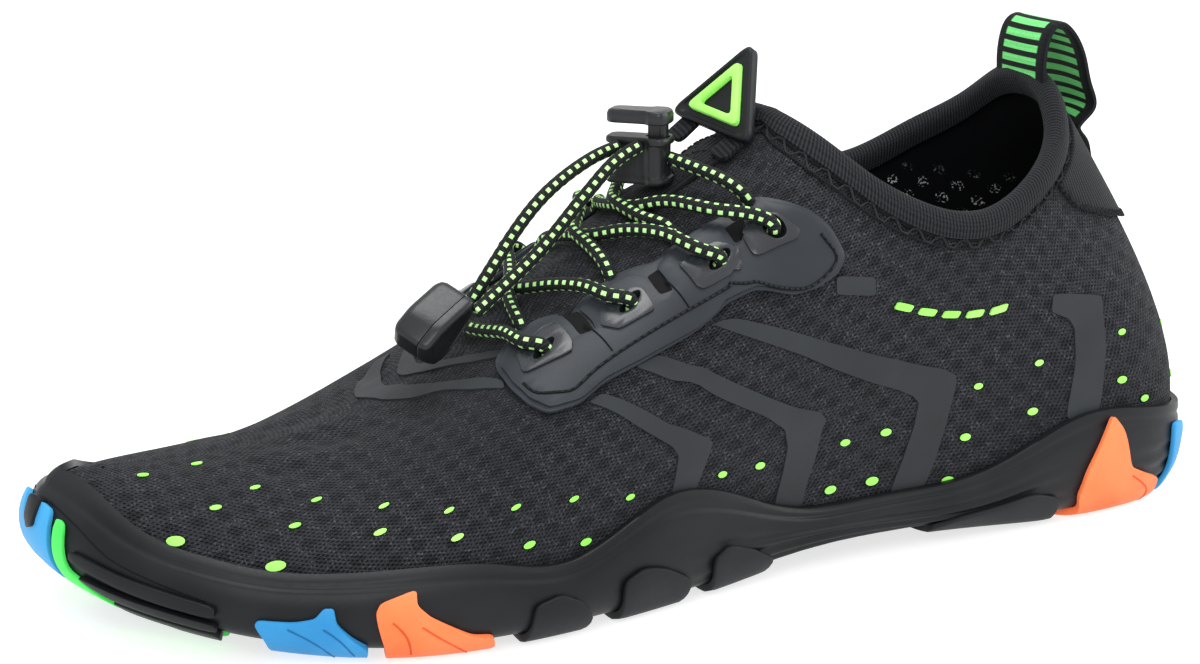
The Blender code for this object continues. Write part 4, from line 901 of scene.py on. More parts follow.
# The same plastic from a smoother mould, for the button and the clip: satin
clip_plastic = rubber("satin_plastic", "#101113", "#1B1D20", 0.34, 0.00005, coat=0.08, gloss=0.3)
# Painted shade for what lies in a gap: nearly black, without a highlight
shadow_gap = rubber("painted_gap_shade", "#08090A", "#0C0D0E", 0.8)
print("finishes", len(bpy.data.materials))


# %% [markdown]
# The upper is cut from one knit and pulled over the last, so it is drawn as one skin: a fine grid
# outside, the same grid a wall's thickness inside, and a turned edge at the collar. Creases were
# placed where the photo shows them, as soft troughs half a millimetre deep or a bit more.
# A cloth simulation would give other creases each time the sizes change.
# %% Creases of the knit
# Columns of station and share at each end, then depth and half width in metres
CREASES = [
    ((11.9, 0.80), (12.9, 0.93), 0.0008, 0.0035), ((12.3, 0.62), (13.2, 0.80), 0.0006, 0.0030),
    ((11.2, 0.62), (11.7, 0.88), 0.0007, 0.0030), ((6.0, 0.82), (7.2, 0.86), 0.0005, 0.0030),
    ((4.6, 0.80), (6.2, 0.86), 0.0005, 0.0028), ((7.3, 0.45), (8.6, 0.50), 0.0005, 0.0035),
    ((2.2, 0.52), (3.4, 0.44), 0.0006, 0.0035), ((1.2, 0.34), (2.3, 0.24), 0.0006, 0.0030),
    ((5.4, 0.32), (6.6, 0.22), 0.0005, 0.0030), ((9.8, 0.30), (10.6, 0.42), 0.0005, 0.0035)]


def crease_depth(station, share):
    """Return how far the creases push the cloth in, the same on both sides."""
    number, _ = side_station(station)
    places = cloth_map(number, share)
    depth = np.zeros(len(places))
    for start, end, deep, width in CREASES:
        first, last = cloth_map(start[0], start[1]), cloth_map(end[0], end[1])
        step = last - first
        share_on = np.clip(((places - first) @ step) / (step @ step), 0, 1)
        away = np.linalg.norm(places - first - share_on[:, None] * step, axis=1)
        fade = np.sin(np.pi * np.clip(share_on, 0.08, 0.92))
        depth += deep * fade * np.exp(-(away / width)**2)
        depth -= 0.5 * deep * fade * np.exp(-((away - 1.9 * width) / width)**2)
    return depth


print("creases", len(CREASES), "deepest, mm", round(1000 * max(crease[2] for crease in CREASES), 1))

# %% [markdown]
# The grid has 480 columns, one every 1.3 mm, fine enough for the creases and the curved toe. Its
# lowest ring lies inside the sole's rim, so no gap shows where the two meet.
# %% Knit upper and lining
def add_upper():
    columns, rings = 480, 56
    station = np.tile(np.arange(columns) * ROUND / columns, rings)
    low = rim_share(np.arange(columns) * ROUND / columns)[:, 0] * 0.55
    rise = np.linspace(0, 1, rings)
    share = (low[None, :] + (1 - low[None, :]) * rise[:, None]).ravel()
    depth = crease_depth(station, share)
    outside = on_upper(station, share, -depth[:, None])
    inside_wall = on_upper(station, share, -WALL)
    maps = cloth_map(station, share)
    faces = ring_quads(rings, columns)
    add_piece("upper_knit", outside, faces, air_mesh_knit, "knit", maps, replaces=["upper"])
    add_piece("upper_lining", inside_wall, faces, lining, "knit", maps)
    collar = [c for c in range(columns) if min(c, columns - c) * ROUND / columns <= COLLAR_FRONT]
    edge = (rings - 1) * columns
    strip = [(edge + c, edge + (c + 1) % columns) for c in collar if (c + 1) % columns in collar]
    points = np.concatenate([outside, inside_wall])
    shift = rings * columns
    used = sorted({i for pair in strip for i in pair})
    number = {old: new for new, old in enumerate(used)}
    rim_points = np.concatenate([points[used], points[[i + shift for i in used]]])
    rim_faces = [(number[a], number[b], number[b] + len(used), number[a] + len(used)) for a, b in strip]
    add_piece("upper_edge", rim_points, rim_faces, air_mesh_knit, "knit", np.tile(maps[used], (2, 1)))


add_upper()

# %% [markdown]
# The insole is die-cut foam with a knitted face. It lies on the bed of the sole, a little inside the
# wall, and only its heel shows through the collar.
# %% Insole
def add_insole():
    columns = 240
    station = np.arange(columns) * ROUND / columns
    bed = on_upper(station, 0.0, GAP)
    middle = centre_point(station, TREAD_DEPTH + BED_THICKNESS)
    rings = []
    section = ((0.95, 1.0), (0.75, 1.0), (0.5, 1.0), (0.3, 1.0), (0.2, 0.96), (0.16, 0.80), (0.155, 0.25))
    for inward, up in section:
        rings.append(bed + inward * (middle - bed) + np.array([0, 0, INSOLE_THICKNESS * up]))
    points = np.concatenate(rings)
    faces = ring_quads(len(rings), columns) + [tuple(range(columns))]
    add_piece("insole_foam", points, faces, foam_cloth, "foam", points[:, :2], replaces=["insole"])


add_insole()

# %% [markdown]
# The rim of the collar is bound with ribbed elastic tape, folded over the edge and caught with an
# overlock seam. The tape's section is a flat hook, swept round the collar with a slightly swollen
# fold. A curve with a bevel could do this, but the tape grows wider toward the front.
# %% Collar binding
BINDING_EDGE = [
    (0.0, 0.0, 0.950), (2.0, 2.0, 0.950), (3.0, 3.0, 0.943), (4.0, 4.0, 0.930), (5.0, 5.0, 0.917),
    (6.0, 6.02, 0.912), (7.0, 7.10, 0.910), (7.5, 7.72, 0.925), (7.8, 8.05, 0.955), (8.0, 8.22, 1.0)]


def binding_places(half, drop=1.0):
    """Return the collar's places, and the places below them on the binding's lower edge."""
    columns, station, share = np.array(BINDING_EDGE).T
    own, level = np.interp(half, columns, station), np.interp(half, columns, share)
    own, level = half + (own - half) * drop, 1 + (level - 1) * drop
    turn = slice(-2, 0, -1)
    return (np.concatenate([half, ROUND - half[turn]]), np.concatenate([own, ROUND - own[turn]]),
            np.concatenate([level, level[turn]]))


def add_binding():
    half = np.linspace(0, COLLAR_FRONT, 161)
    stations, low_stations, low_shares = binding_places(half)
    edge = on_upper(stations, 1.0, 0.0)
    out = upper_normal(stations, 1.0)
    below = on_upper(low_stations, low_shares, 0.0)
    up = edge - below
    up /= np.linalg.norm(up, axis=1)[:, None]
    middle_stations, middle_shares = binding_places(half, 0.5)[1:]
    rings = [
        on_upper(low_stations, low_shares, 0.0003),
        on_upper(low_stations, low_shares, 0.0012),
        on_upper(middle_stations, middle_shares, 0.0018),
        edge + out * 0.0017 - up * 0.0005,
        edge + out * 0.0012 + up * 0.0009,
        edge + out * 0.0002 + up * 0.0016,
        edge - out * (WALL * 0.5) + up * 0.0018,
        edge - out * (WALL + 0.0002) + up * 0.0016,
        edge - out * (WALL + 0.0014) + up * 0.0008,
        edge - out * (WALL + 0.0019) - up * 0.0005,
        on_upper(middle_stations, middle_shares, -WALL - 0.0020),
        on_upper(low_stations, low_shares, -WALL - 0.0016),
        on_upper(low_stations, low_shares, -WALL - 0.0002)]
    run = run_along(edge)
    height = np.arange(len(rings)) * 0.0014
    maps = np.concatenate([np.stack([run, np.full(len(run), h)], 1) for h in height])
    faces = ring_quads(len(rings), len(stations), closed_ring=True)
    add_piece("collar_tape", np.concatenate(rings), faces, binding_tape, "rib_tape", maps,
              replaces=["collar_binding"], angle=60)


add_binding()
print("binding, mm round the collar", round(1000 * run_along(on_upper(binding_places(
    np.linspace(0, COLLAR_FRONT, 161))[0], 1.0, 0.0))[-1]))

# %% [markdown]
# The overlock seam is real thread: a zigzag across the tape's lower edge, between two dark lines.
# Stitches this large would look painted if they were only a bump.
# %% Overlock seam
ZIGZAG_STEP = 0.00155


def add_overlock():
    half = np.linspace(0, COLLAR_FRONT, 2400)
    _, low_stations, low_shares = binding_places(half, 1.02)
    _, far_stations, far_shares = binding_places(half, 1.42)
    lower = on_upper(low_stations, low_shares, 0.0)
    run = run_along(lower)
    steps = np.arange(0, run[-1], ZIGZAG_STEP)
    zigzag = []
    for i, place in enumerate(steps):
        at = int(np.searchsorted(run, place))
        share = (0.0, 1.0, 0.55, 0.0)[i % 4] if i % 2 else (0.15, 0.95)[i // 2 % 2]
        one = low_stations[at:at + 1] * (1 - share) + far_stations[at:at + 1] * share
        two = low_shares[at] * (1 - share) + far_shares[at] * share
        zigzag.append(on_upper(one, two, 0.0007 if i % 2 else 0.0004)[0])
    add_tubes("overlock_seam", [np.array(zigzag)], 0.00028, 5, thread, "rib_tape")
    for name, drop in (("seam_line_high", 1.06), ("seam_line_low", 1.44)):
        _, line_stations, line_shares = binding_places(np.linspace(0, COLLAR_FRONT, 500), drop)
        line = on_upper(line_stations, line_shares, 0.0003)
        add_tubes(name, [np.vstack([line, line[:1]])], 0.0003, 6, dark_thread, "rib_tape")


add_overlock()

# %% [markdown]
# Reflective film is cut in bent bands and welded to the knit under heat. The outlines come from the
# photo, in stations and shares, and the same cut lies on the inner side. Two bends cross the ridge
# under the clip, so they are given as station and way across. A painted band would have no edge.
# %% Outlines of the welded film
SIDES = ("outer", "inner")
FILM = {
    "band_front": [
        (9.30, 0.434), (8.94, 0.392), (8.14, 0.304), (7.61, 0.274), (7.47, 0.262), (7.48, 0.232),
        (7.52, 0.178), (7.55, 0.130), (7.84, 0.130), (7.85, 0.198), (7.89, 0.240), (8.04, 0.262),
        (8.64, 0.328), (9.07, 0.382), (9.42, 0.427)],
    "band_middle": [
        (8.71, 0.464), (8.10, 0.408), (7.18, 0.368), (6.48, 0.336), (6.14, 0.328), (6.01, 0.306),
        (6.01, 0.254), (6.03, 0.170), (6.06, 0.050), (6.42, 0.050), (6.41, 0.166), (6.42, 0.236),
        (6.55, 0.284), (6.86, 0.314), (7.63, 0.352), (8.38, 0.398), (8.99, 0.460)],
    "band_back": [
        (7.68, 0.498), (6.65, 0.502), (5.97, 0.502), (5.28, 0.490), (4.62, 0.464), (4.44, 0.440),
        (4.42, 0.398), (4.45, 0.264), (4.51, 0.136), (4.60, 0.040), (4.97, 0.040), (4.88, 0.158),
        (4.83, 0.266), (4.84, 0.350), (4.94, 0.374), (5.16, 0.396), (5.84, 0.430), (6.56, 0.456),
        (7.23, 0.466), (8.11, 0.480)],
    "short_bar": [(6.48, 0.659), (5.92, 0.706), (5.85, 0.657), (6.41, 0.617)],
    "heel_hook": [
        (3.12, 0.631), (2.36, 0.561), (2.33, 0.550), (2.66, 0.199), (3.05, 0.220), (2.83, 0.491),
        (2.92, 0.533), (3.18, 0.578)],
}
print("film bands on each side", len(FILM))

# %% [markdown]
# Small dots are printed over the toe, along the side and round the heel. Each row holds a station, a
# share and a size, read from the photo.
# %% Places of the printed dots
DOTS = [
    (14.19, 0.788, 1.0), (13.70, 0.882, 1.0), (13.24, 0.514, 1.0), (12.96, 0.622, 0.9),
    (13.43, 0.304, 1.6), (12.25, 0.396, 1.0), (12.19, 0.502, 0.9), (11.38, 0.392, 0.9),
    (12.21, 0.222, 1.7), (11.28, 0.300, 1.1), (10.62, 0.302, 0.9), (10.41, 0.218, 1.1),
    (9.84, 0.246, 0.9), (9.54, 0.146, 1.1), (9.15, 0.218, 0.9), (8.84, 0.116, 1.1), (8.40, 0.184, 0.9),
    (7.22, 0.192, 1.0), (6.74, 0.200, 1.1), (5.71, 0.091, 1.3), (5.20, 0.095, 1.4), (5.66, 0.235, 1.1),
    (5.16, 0.257, 1.2), (4.33, 0.060, 1.5), (4.20, 0.214, 1.2), (4.13, 0.391, 1.0), (3.44, 0.268, 1.2),
    (3.37, 0.426, 1.0), (2.14, 0.438, 1.0), (2.28, 0.305, 1.2), (1.05, 0.370, 1.0), (1.00, 0.230, 1.1),
    (1.95, 0.230, 1.1)]
print("dots on the outer side", len(DOTS))

# %% [markdown]
# The film's lift is 0.35 mm, thicker than real film, because its edge would not show otherwise. It
# follows the creased cloth. The mirror image on the inner side is the same outline turned round.
# %% Welded film
FRONT_FILM = {
    "long_bend": [
        (11.14, 1.322), (11.35, 1.292), (11.59, 1.236), (11.80, 1.170), (11.95, 1.098), (11.89, 0.968),
        (11.64, 0.870), (11.35, 0.798), (11.00, 0.704), (10.56, 0.612), (10.64, 0.654), (10.91, 0.726),
        (11.14, 0.782), (11.42, 0.866), (11.64, 0.958), (11.74, 1.056), (11.66, 1.120), (11.45, 1.210),
        (11.18, 1.278), (11.02, 1.312)],
    "short_bend": [
        (11.09, 1.250), (11.26, 1.200), (11.41, 1.154), (11.55, 1.098), (11.58, 1.050), (11.50, 0.990),
        (11.40, 0.954), (11.26, 0.906), (11.06, 0.838), (10.76, 0.764), (10.74, 0.784), (10.97, 0.848),
        (11.22, 0.930), (11.38, 1.000), (11.42, 1.070), (11.30, 1.140), (11.16, 1.190),
        (11.00, 1.236)],
}
FILM_LIFT = 0.00035
FRONT_LIFT = 0.00045
SUNK = -0.0001
FILM_NET = (0.22, 0.022)
FRONT_NET = (0.10, 0.014)


def mirrored(outline):
    return np.asarray(outline, float)[::-1] * (-1, 1) + (ROUND, 0)


def on_side(outline, side):
    """Return an outline of the outer side, or its mirror image for the inner side."""
    return np.asarray(outline, float) if side == "outer" else mirrored(outline)


def lay_on_cloth(station, share, offset):
    """Return places over the creased cloth."""
    offset = np.asarray(offset, float)
    return on_upper(station, share, offset - crease_depth(station, share)[:, None])


def over_ridge(station, across, offset, surface=on_upper):
    """Return points across the instep: 0 at the outer sole, 1 on the ridge, 2 at the inner sole."""
    station = np.atleast_1d(np.asarray(station, float))
    across = np.broadcast_to(np.asarray(across, float), station.shape)
    outer = across <= 1
    return surface(np.where(outer, station, ROUND - station), np.where(outer, across, 2 - across), offset)


def over_cloth(station, across, offset):
    return over_ridge(station, across, offset, lay_on_cloth)


def ridge_map(station, across):
    """Return rough lengths in metres over the ridge, for even finishes."""
    return np.stack([np.asarray(across) * 0.085, np.asarray(station) * 0.025], -1)


for name, corners in FILM.items():
    for side in SIDES:
        outline = on_side(rounded(corners, 0.15, 2), side)
        add_sheet(f"film_{name}_{side}", lay_on_cloth, outline, welded_film, "film",
                  FILM_NET, SUNK, FILM_LIFT)
for name, corners in FRONT_FILM.items():
    add_sheet(f"film_{name}", over_cloth, rounded(corners, 0.25, 2), welded_film, "film",
              FRONT_NET, SUNK, FRONT_LIFT, mapping=ridge_map)
print("film pieces", 2 * len(FILM) + len(FRONT_FILM))

# %% [markdown]
# A dot is raised ink, a little flattened, with a rim of painted shade where the knit is pressed in. All
# dots of a side are one piece. The inner side leaves out the two on top of the toe, which belong to the
# outer.
# %% Printed dots
DOT_RADIUS = 0.00122
TOP_OF_TOE = 0.75


def spot_outline(station, share, radius, count=14, squash=1.0):
    """Return a round or flat spot of a true radius as an outline of station and share."""
    here = upper_point(station, share)
    per_station = np.linalg.norm(upper_point(station + 0.01, share) - here) / 0.01
    per_share = np.linalg.norm(upper_point(station, share + 0.01) - here) / 0.01
    turns = np.arange(count) * 2 * math.pi / count
    return np.stack([station + np.cos(turns) * radius / per_station,
                     share + np.sin(turns) * radius * squash / per_share], 1)


def add_dots(side, name, material, slot, swell, low, high):
    """Make one side's dots as one piece, each with a low wall and a shallow crown."""
    points, maps, faces, start = [], [], [], 0
    for station, share, size in DOTS:
        if side == "inner" and share > TOP_OF_TOE:
            continue
        centre = station if side == "outer" else ROUND - station
        loop = spot_outline(centre, share, DOT_RADIUS * size * swell, squash=0.60)
        middle = np.array([(centre, share)])
        for outline, height in ((loop, low), (loop, high), (middle, high + 0.00005)):
            points.append(on_upper(outline[:, 0], outline[:, 1], height))
            maps.append(cloth_map(outline[:, 0], outline[:, 1]))
        count = len(loop)
        for i in range(count):
            here, beside = start + i, start + (i + 1) % count
            faces.append((here, beside, beside + count, here + count))
            faces.append((here + count, beside + count, start + 2 * count))
        start += 2 * count + 1
    add_piece(f"{name}_{side}", np.concatenate(points), faces, material, slot, np.concatenate(maps))


for side in SIDES:
    add_dots(side, "print_dots", print_green, "green_rubber", 1.0, 0.0, 0.0003)
    # The dark rims are painted shade round each dot
    add_dots(side, "print_dot_shade_rims", shadow_gap, "film", 1.22, SUNK, 0.0001)
print("dots on both sides", len(DOTS) + sum(share <= TOP_OF_TOE for _, share, _ in DOTS))

# %% [markdown]
# A row of slanted dashes is printed near the heel, in the same raised ink as the dots. Ink this thick
# has an edge of its own, so each dash is a thin sheet over the cloth.
# %% Printed dashes
DASHES = 5
DASH_STEP = 0.36

for side in SIDES:
    for i in range(DASHES):
        start = 5.50 - DASH_STEP * i
        dash = [(start, 0.662), (start - 0.24, 0.664), (start - 0.20, 0.640), (start + 0.04, 0.638)]
        add_sheet(f"dash_{side}_{i}", lay_on_cloth, on_side(rounded(dash, 0.2, 2), side), print_green,
                  "green_rubber", (0.2, 0.02), SUNK, 0.0005)
print("dashes", len(SIDES) * DASHES)

# %% [markdown]
# The eyestays are moulded strips sewn over the knit. Each is built in layers: a soft base that shows
# as a lip along the lower edge, a plate on it with notches between its tabs, and a raised glossy
# frame round each eyelet. The tables hold the outlines, traced from the photo in stations and shares.
# %% Outlines of the eyestays
EYELETS = [(10.19, 0.638), (9.34, 0.620), (8.30, 0.617), (7.54, 0.685)]
EYELET_RADIUS = 0.0026
# The base's outline, with the lips of the cross bars between the tabs
STAY_BASE = [
    (10.78, 0.745), (10.70, 0.792), (10.44, 0.788), (10.22, 0.744), (10.06, 0.700), (9.98, 0.735),
    (9.80, 0.752), (9.50, 0.740), (9.22, 0.706), (9.10, 0.722), (8.70, 0.730), (8.40, 0.728),
    (8.20, 0.690), (8.10, 0.726), (7.78, 0.742), (7.40, 0.758), (7.06, 0.768), (6.74, 0.758),
    (6.44, 0.716), (6.50, 0.662), (6.74, 0.606), (7.02, 0.572), (7.36, 0.564), (7.56, 0.556),
    (7.76, 0.534), (8.26, 0.480), (8.93, 0.460), (9.33, 0.454), (9.53, 0.430), (9.88, 0.446),
    (10.18, 0.504), (10.48, 0.590), (10.72, 0.690)]
# The plate's outline, with square notches between its tabs
STAY_PLATE = [
    (10.66, 0.740), (10.60, 0.786), (10.40, 0.776), (10.20, 0.744), (10.10, 0.716), (9.82, 0.612),
    (9.66, 0.604), (9.72, 0.630), (9.94, 0.704), (9.78, 0.728), (9.46, 0.710), (9.30, 0.678),
    (8.99, 0.598), (8.84, 0.594), (8.92, 0.616), (9.15, 0.678), (9.05, 0.704), (8.68, 0.708),
    (8.44, 0.704), (8.30, 0.676), (8.14, 0.640), (7.96, 0.632), (8.00, 0.650), (8.14, 0.700),
    (8.02, 0.712), (7.78, 0.726), (7.40, 0.744), (7.06, 0.758), (6.76, 0.749), (6.50, 0.713),
    (6.55, 0.668), (6.77, 0.614), (7.03, 0.580), (7.36, 0.571), (7.57, 0.563), (7.77, 0.541),
    (8.27, 0.488), (8.93, 0.468), (9.33, 0.462), (9.53, 0.439), (9.87, 0.455), (10.16, 0.511),
    (10.45, 0.596), (10.67, 0.688)]
PLATE_HIGH = 0.0022
STAY_NET = (0.16, 0.018)
# The sewn channel inside the plate's lower edge, and the cuts that part its tabs, whose floors are painted
# shade
CHANNEL = [
    (6.89, 0.724), (6.74, 0.712), (6.60, 0.684), (6.78, 0.618), (7.00, 0.587), (7.31, 0.573),
    (7.59, 0.569), (7.77, 0.558), (8.43, 0.536), (8.85, 0.522), (9.31, 0.504), (9.55, 0.484),
    (9.68, 0.471), (9.90, 0.490), (10.11, 0.517), (10.30, 0.566)]
NOTCHES = [
    [(10.14, 0.724), (9.80, 0.608), (9.66, 0.600), (9.95, 0.704)],
    [(9.24, 0.672), (8.98, 0.594), (8.84, 0.590), (9.13, 0.674)],
    [(8.34, 0.690), (8.14, 0.636), (7.96, 0.630), (8.14, 0.696)],
]
FRAMES = [
    [(10.52, 0.690), (10.34, 0.594), (9.84, 0.574), (9.88, 0.606), (10.14, 0.704), (10.30, 0.722)],
    [(9.66, 0.640), (9.60, 0.600), (9.36, 0.562), (9.00, 0.566), (9.04, 0.580), (9.25, 0.640),
     (9.40, 0.662), (9.60, 0.664)],
    [(8.90, 0.656), (8.52, 0.578), (8.40, 0.564), (7.86, 0.578), (7.86, 0.592), (8.20, 0.640),
     (8.44, 0.664)],
    [(8.11, 0.656), (7.70, 0.610), (7.19, 0.684), (7.19, 0.706), (7.52, 0.716), (7.82, 0.698)],
]


GROOVES_OF_STAY = (((9.82, 0.640), (9.36, 0.518)), ((8.99, 0.630), (8.51, 0.534)))
print("corners of an eyestay", len(STAY_BASE), "and of its plate", len(STAY_PLATE))

# %% [markdown]
# The layers are sheets at rising heights over the knit, all with the same four holes. The channel is
# a line of painted shade sunk in the plate, with short stitches along it, and thinner lines of painted
# shade make its two grooves.
# %% Eyestays
def path_along(corners, count, side="outer"):
    """Return even stations and shares along a smooth line, on the outer or the inner side."""
    path = even_steps(smooth_curve([(a, b, 0.0) for a, b in corners]), len(corners), count)
    return (path[:, 0] if side == "outer" else ROUND - path[:, 0]), path[:, 1]


def add_stay_layer(name, outline, side, material, low, high, **options):
    """Make one layer of an eyestay from an outline of the outer side."""
    return add_sheet(f"{name}_{side}", on_upper, on_side(outline, side), material, "film",
                     STAY_NET, low, high, **options)


def add_eyestay(side):
    holes = [on_side(spot_outline(*place, EYELET_RADIUS, 20), side) for place in EYELETS]
    base = add_stay_layer("eyestay_base", rounded(STAY_BASE, 0.3, 3), side, stay_rubber, 0.0003, 0.0014,
                          holes=holes, replaces=[f"eyestay_{side}"])
    bevel_edges(base, 0.0004)
    plate = add_stay_layer("eyestay_plate", rounded(STAY_PLATE, 0.16, 2), side, stay_rubber, 0.0012,
                           PLATE_HIGH, holes=holes)
    bevel_edges(plate, 0.0003)
    for number, place in enumerate(EYELETS):
        frame_outline = on_side(rounded(FRAMES[number], 0.2, 3), side)
        ring = add_sheet(f"eyelet_frame_{side}_{number}", on_upper, frame_outline, frame_film, "film",
                         (0.12, 0.015), PLATE_HIGH - 0.0003, PLATE_HIGH + 0.0005, holes=[holes[number]])
        bevel_edges(ring, 0.0003)
        # A disc of painted shade lies in each eyelet's hole
        eyelet_shade_outline = on_side(spot_outline(*place, EYELET_RADIUS * 1.15), side)
        add_sheet(f"eyelet_shade_floor_{side}_{number}", on_upper, eyelet_shade_outline, shadow_gap, "film",
                  (0.2, 0.02), 0.0, 0.0004)
    # The notch floors are dark sheets of painted shade
    for number, notch in enumerate(NOTCHES):
        add_sheet(f"eyestay_notch_shade_{side}_{number}", on_upper, on_side(rounded(notch, 0.1, 2), side),
                  shadow_gap, "film", STAY_NET, 0.0010, 0.0016)
    # The channel and the grooves are dark tubes of painted shade
    channel = path_along(CHANNEL, 400, side)
    add_tubes(f"eyestay_channel_shade_{side}", [on_upper(*channel, PLATE_HIGH - 0.0001)], 0.00042, 6,
              shadow_gap, "film")
    line = on_upper(*channel, PLATE_HIGH + 0.0003)
    stitches = [line[i:i + 5] for i in range(2, 392, 7)]
    add_tubes(f"eyestay_stitch_{side}", stitches, 0.00022, 6, thread, "film")
    for number, (start, end) in enumerate(GROOVES_OF_STAY):
        middle = ((start[0] + end[0]) / 2, (start[1] + end[1]) / 2)
        groove = on_upper(*path_along([start, middle, end], 16, side), PLATE_HIGH)
        add_tubes(f"eyestay_groove_shade_{side}_{number}", [groove], 0.00022, 5, shadow_gap, "film")
    return len(stitches)


for side in SIDES:
    print("eyestay", side, "stitches", add_eyestay(side))

# %% [markdown]
# A soft knit patch strengthens the heel where the loop is sewn. Its edge is turned and held by a
# zigzag, and a thin piping runs down the middle of the heel.
# %% Heel patch and piping
HEEL_PATCH = [
    (-2.64, 0.925), (-1.40, 0.915), (0.0, 0.910), (1.40, 0.915), (2.64, 0.925), (2.50, 0.872),
    (2.34, 0.819), (1.53, 0.697), (0.80, 0.625), (0.0, 0.600), (-0.80, 0.625), (-1.53, 0.697),
    (-2.34, 0.819), (-2.50, 0.872)]

LOWER_EDGE = [
    (2.60, 0.905), (2.44, 0.865), (2.28, 0.818), (1.50, 0.704), (0.80, 0.634), (0.0, 0.610),
    (-0.80, 0.634), (-1.50, 0.704), (-2.28, 0.818), (-2.44, 0.865), (-2.60, 0.905)]


def zigzag_line(corners, count, spread, offset):
    """Return a zigzag of thread about a line of stations and shares."""
    station, share = path_along(corners, count)
    return on_upper(station, share + np.where(np.arange(count) % 2, spread, -spread), offset)


patch = add_sheet("heel_patch_cloth", on_upper, rounded(HEEL_PATCH, 0.3, 3), patch_cloth, "black_rubber",
                  (0.20, 0.025), 0.0002, 0.0012, replaces=["heel_patch"])
bevel_edges(patch, 0.0005)
add_tubes("heel_patch_stitch", [zigzag_line(LOWER_EDGE, 110, 0.007, 0.0014)], 0.00026, 5, thread,
          "rib_tape")
piping = on_upper(np.zeros(60), np.linspace(0.20, 0.60, 60), 0.0003)
add_tubes("heel_piping", [piping], 0.0009, 8, dark_thread, "rib_tape")
print("piping, mm", round(1000 * run_along(piping)[-1]))

# %% [markdown]
# The pull loop is a flat woven tape. It starts in the collar's binding, bends back over the edge and
# goes in under the patch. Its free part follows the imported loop's middle line, and its tail sinks
# into the heel. It is a grid of points with a real thickness, and its map runs in millimetres from
# the middle, so the bars stay square.
# %% Pull loop
LOOP_WIDTH = 0.019
LOOP_LINE = [
    (0.1395, 0.985), (0.1400, 1.015), (0.1395, 1.045), (0.1372, 1.078), (0.1325, 1.104),
    (0.1246, 1.116), (0.1154, 1.106), (0.1061, 1.076), (0.0982, 1.029), (0.0918, 0.970),
    (0.0870, 0.915)]
LOOP_TAIL = ((0.850, 0.0022), (0.815, 0.0019), (0.785, 0.0013), (0.765, 0.0006))


def add_pull_loop():
    start = on_upper(0.0, *LOOP_TAIL[0])
    reach = np.linalg.norm(on_upper(0.5, *LOOP_TAIL[0]) - start)
    places = np.linspace(-0.5, 0.5, 25)
    columns = []
    for place in places:
        swing = place * LOOP_WIDTH / reach / 2
        free = [(along(x), place * LOOP_WIDTH, z * HEEL_HEIGHT) for x, z in LOOP_LINE]
        shares, lifts = np.array(LOOP_TAIL).T
        tail = on_upper(np.full(len(LOOP_TAIL), swing), shares, lifts[:, None])
        corners = free + [tuple(p) for p in tail]
        columns.append(even_steps(smooth_curve(corners), len(corners), 110))
    grid = np.stack(columns, 1)
    down, across = np.gradient(grid, axis=0), np.gradient(grid, axis=1)
    normal = np.cross(down, across)
    normal /= np.linalg.norm(normal, axis=2)[:, :, None]
    rows, count = grid.shape[:2]
    run = run_along(grid[:, 12])
    swell = 0.0007 - 0.0003 * (np.abs(places) > 0.46)
    layers = [grid + normal * side * swell[None, :, None] for side in (1, -1)]
    maps = np.stack(np.broadcast_arrays(places[None, :] * LOOP_WIDTH, run[:, None]), 2).reshape(-1, 2)
    faces = ring_quads(rows, count, closed_column=False)
    faces += [tuple(i + rows * count for i in reversed(face)) for face in faces]
    layer = np.arange(rows * count).reshape(rows, count)
    rim = list(layer[0, :]) + list(layer[1:, -1]) + list(layer[-1, -2::-1]) + list(layer[-2:0:-1, 0])
    for first, second in zip(rim, rim[1:] + rim[:1]):
        faces.append((first, second, second + rows * count, first + rows * count))
    points = np.concatenate([layer_points.reshape(-1, 3) for layer_points in layers])
    add_piece("pull_loop_tape", points, faces, bar_webbing, "webbing", np.tile(maps, (2, 1)),
              replaces=["pull_loop"], angle=60)
    print("pull loop tape, mm", round(1000 * run[-1]))


add_pull_loop()

# %% [markdown]
# A short strap is sewn to the knit in front of the collar. It carries the cord lock and the badge.
# Its stitching is a box with a cross, as on most load-bearing straps.
# %% Instep strap with a box stitch
STRAP = [(8.44, 0.915), (8.44, 1.085), (9.45, 1.085), (9.45, 0.915)]
strap = add_sheet("strap_webbing", over_ridge, rounded(STRAP, 0.08, 2), strap_tape, "rib_tape",
                  (0.10, 0.012), 0.0002, 0.0014, mapping=ridge_map, replaces=["instep_strap"])
bevel_edges(strap, 0.0003)
BOX = [(8.50, 0.93), (8.50, 1.07), (9.02, 1.07), (9.02, 0.93)]
BOX_LINES = [(0, 1), (1, 2), (2, 3), (3, 0), (0, 2), (1, 3)]


def strap_line(start, end):
    share = np.linspace(0, 1, 22)
    station = start[0] + (end[0] - start[0]) * share
    return over_ridge(station, start[1] + (end[1] - start[1]) * share, 0.0015)


lines = [strap_line(BOX[first], BOX[last]) for first, last in BOX_LINES]
dashes = [line[i:i + 3] for line in lines for i in range(0, 19, 3)]
add_tubes("strap_stitch", dashes, 0.00028, 5, thread, "rib_tape")
print("stitches in the box", len(dashes))

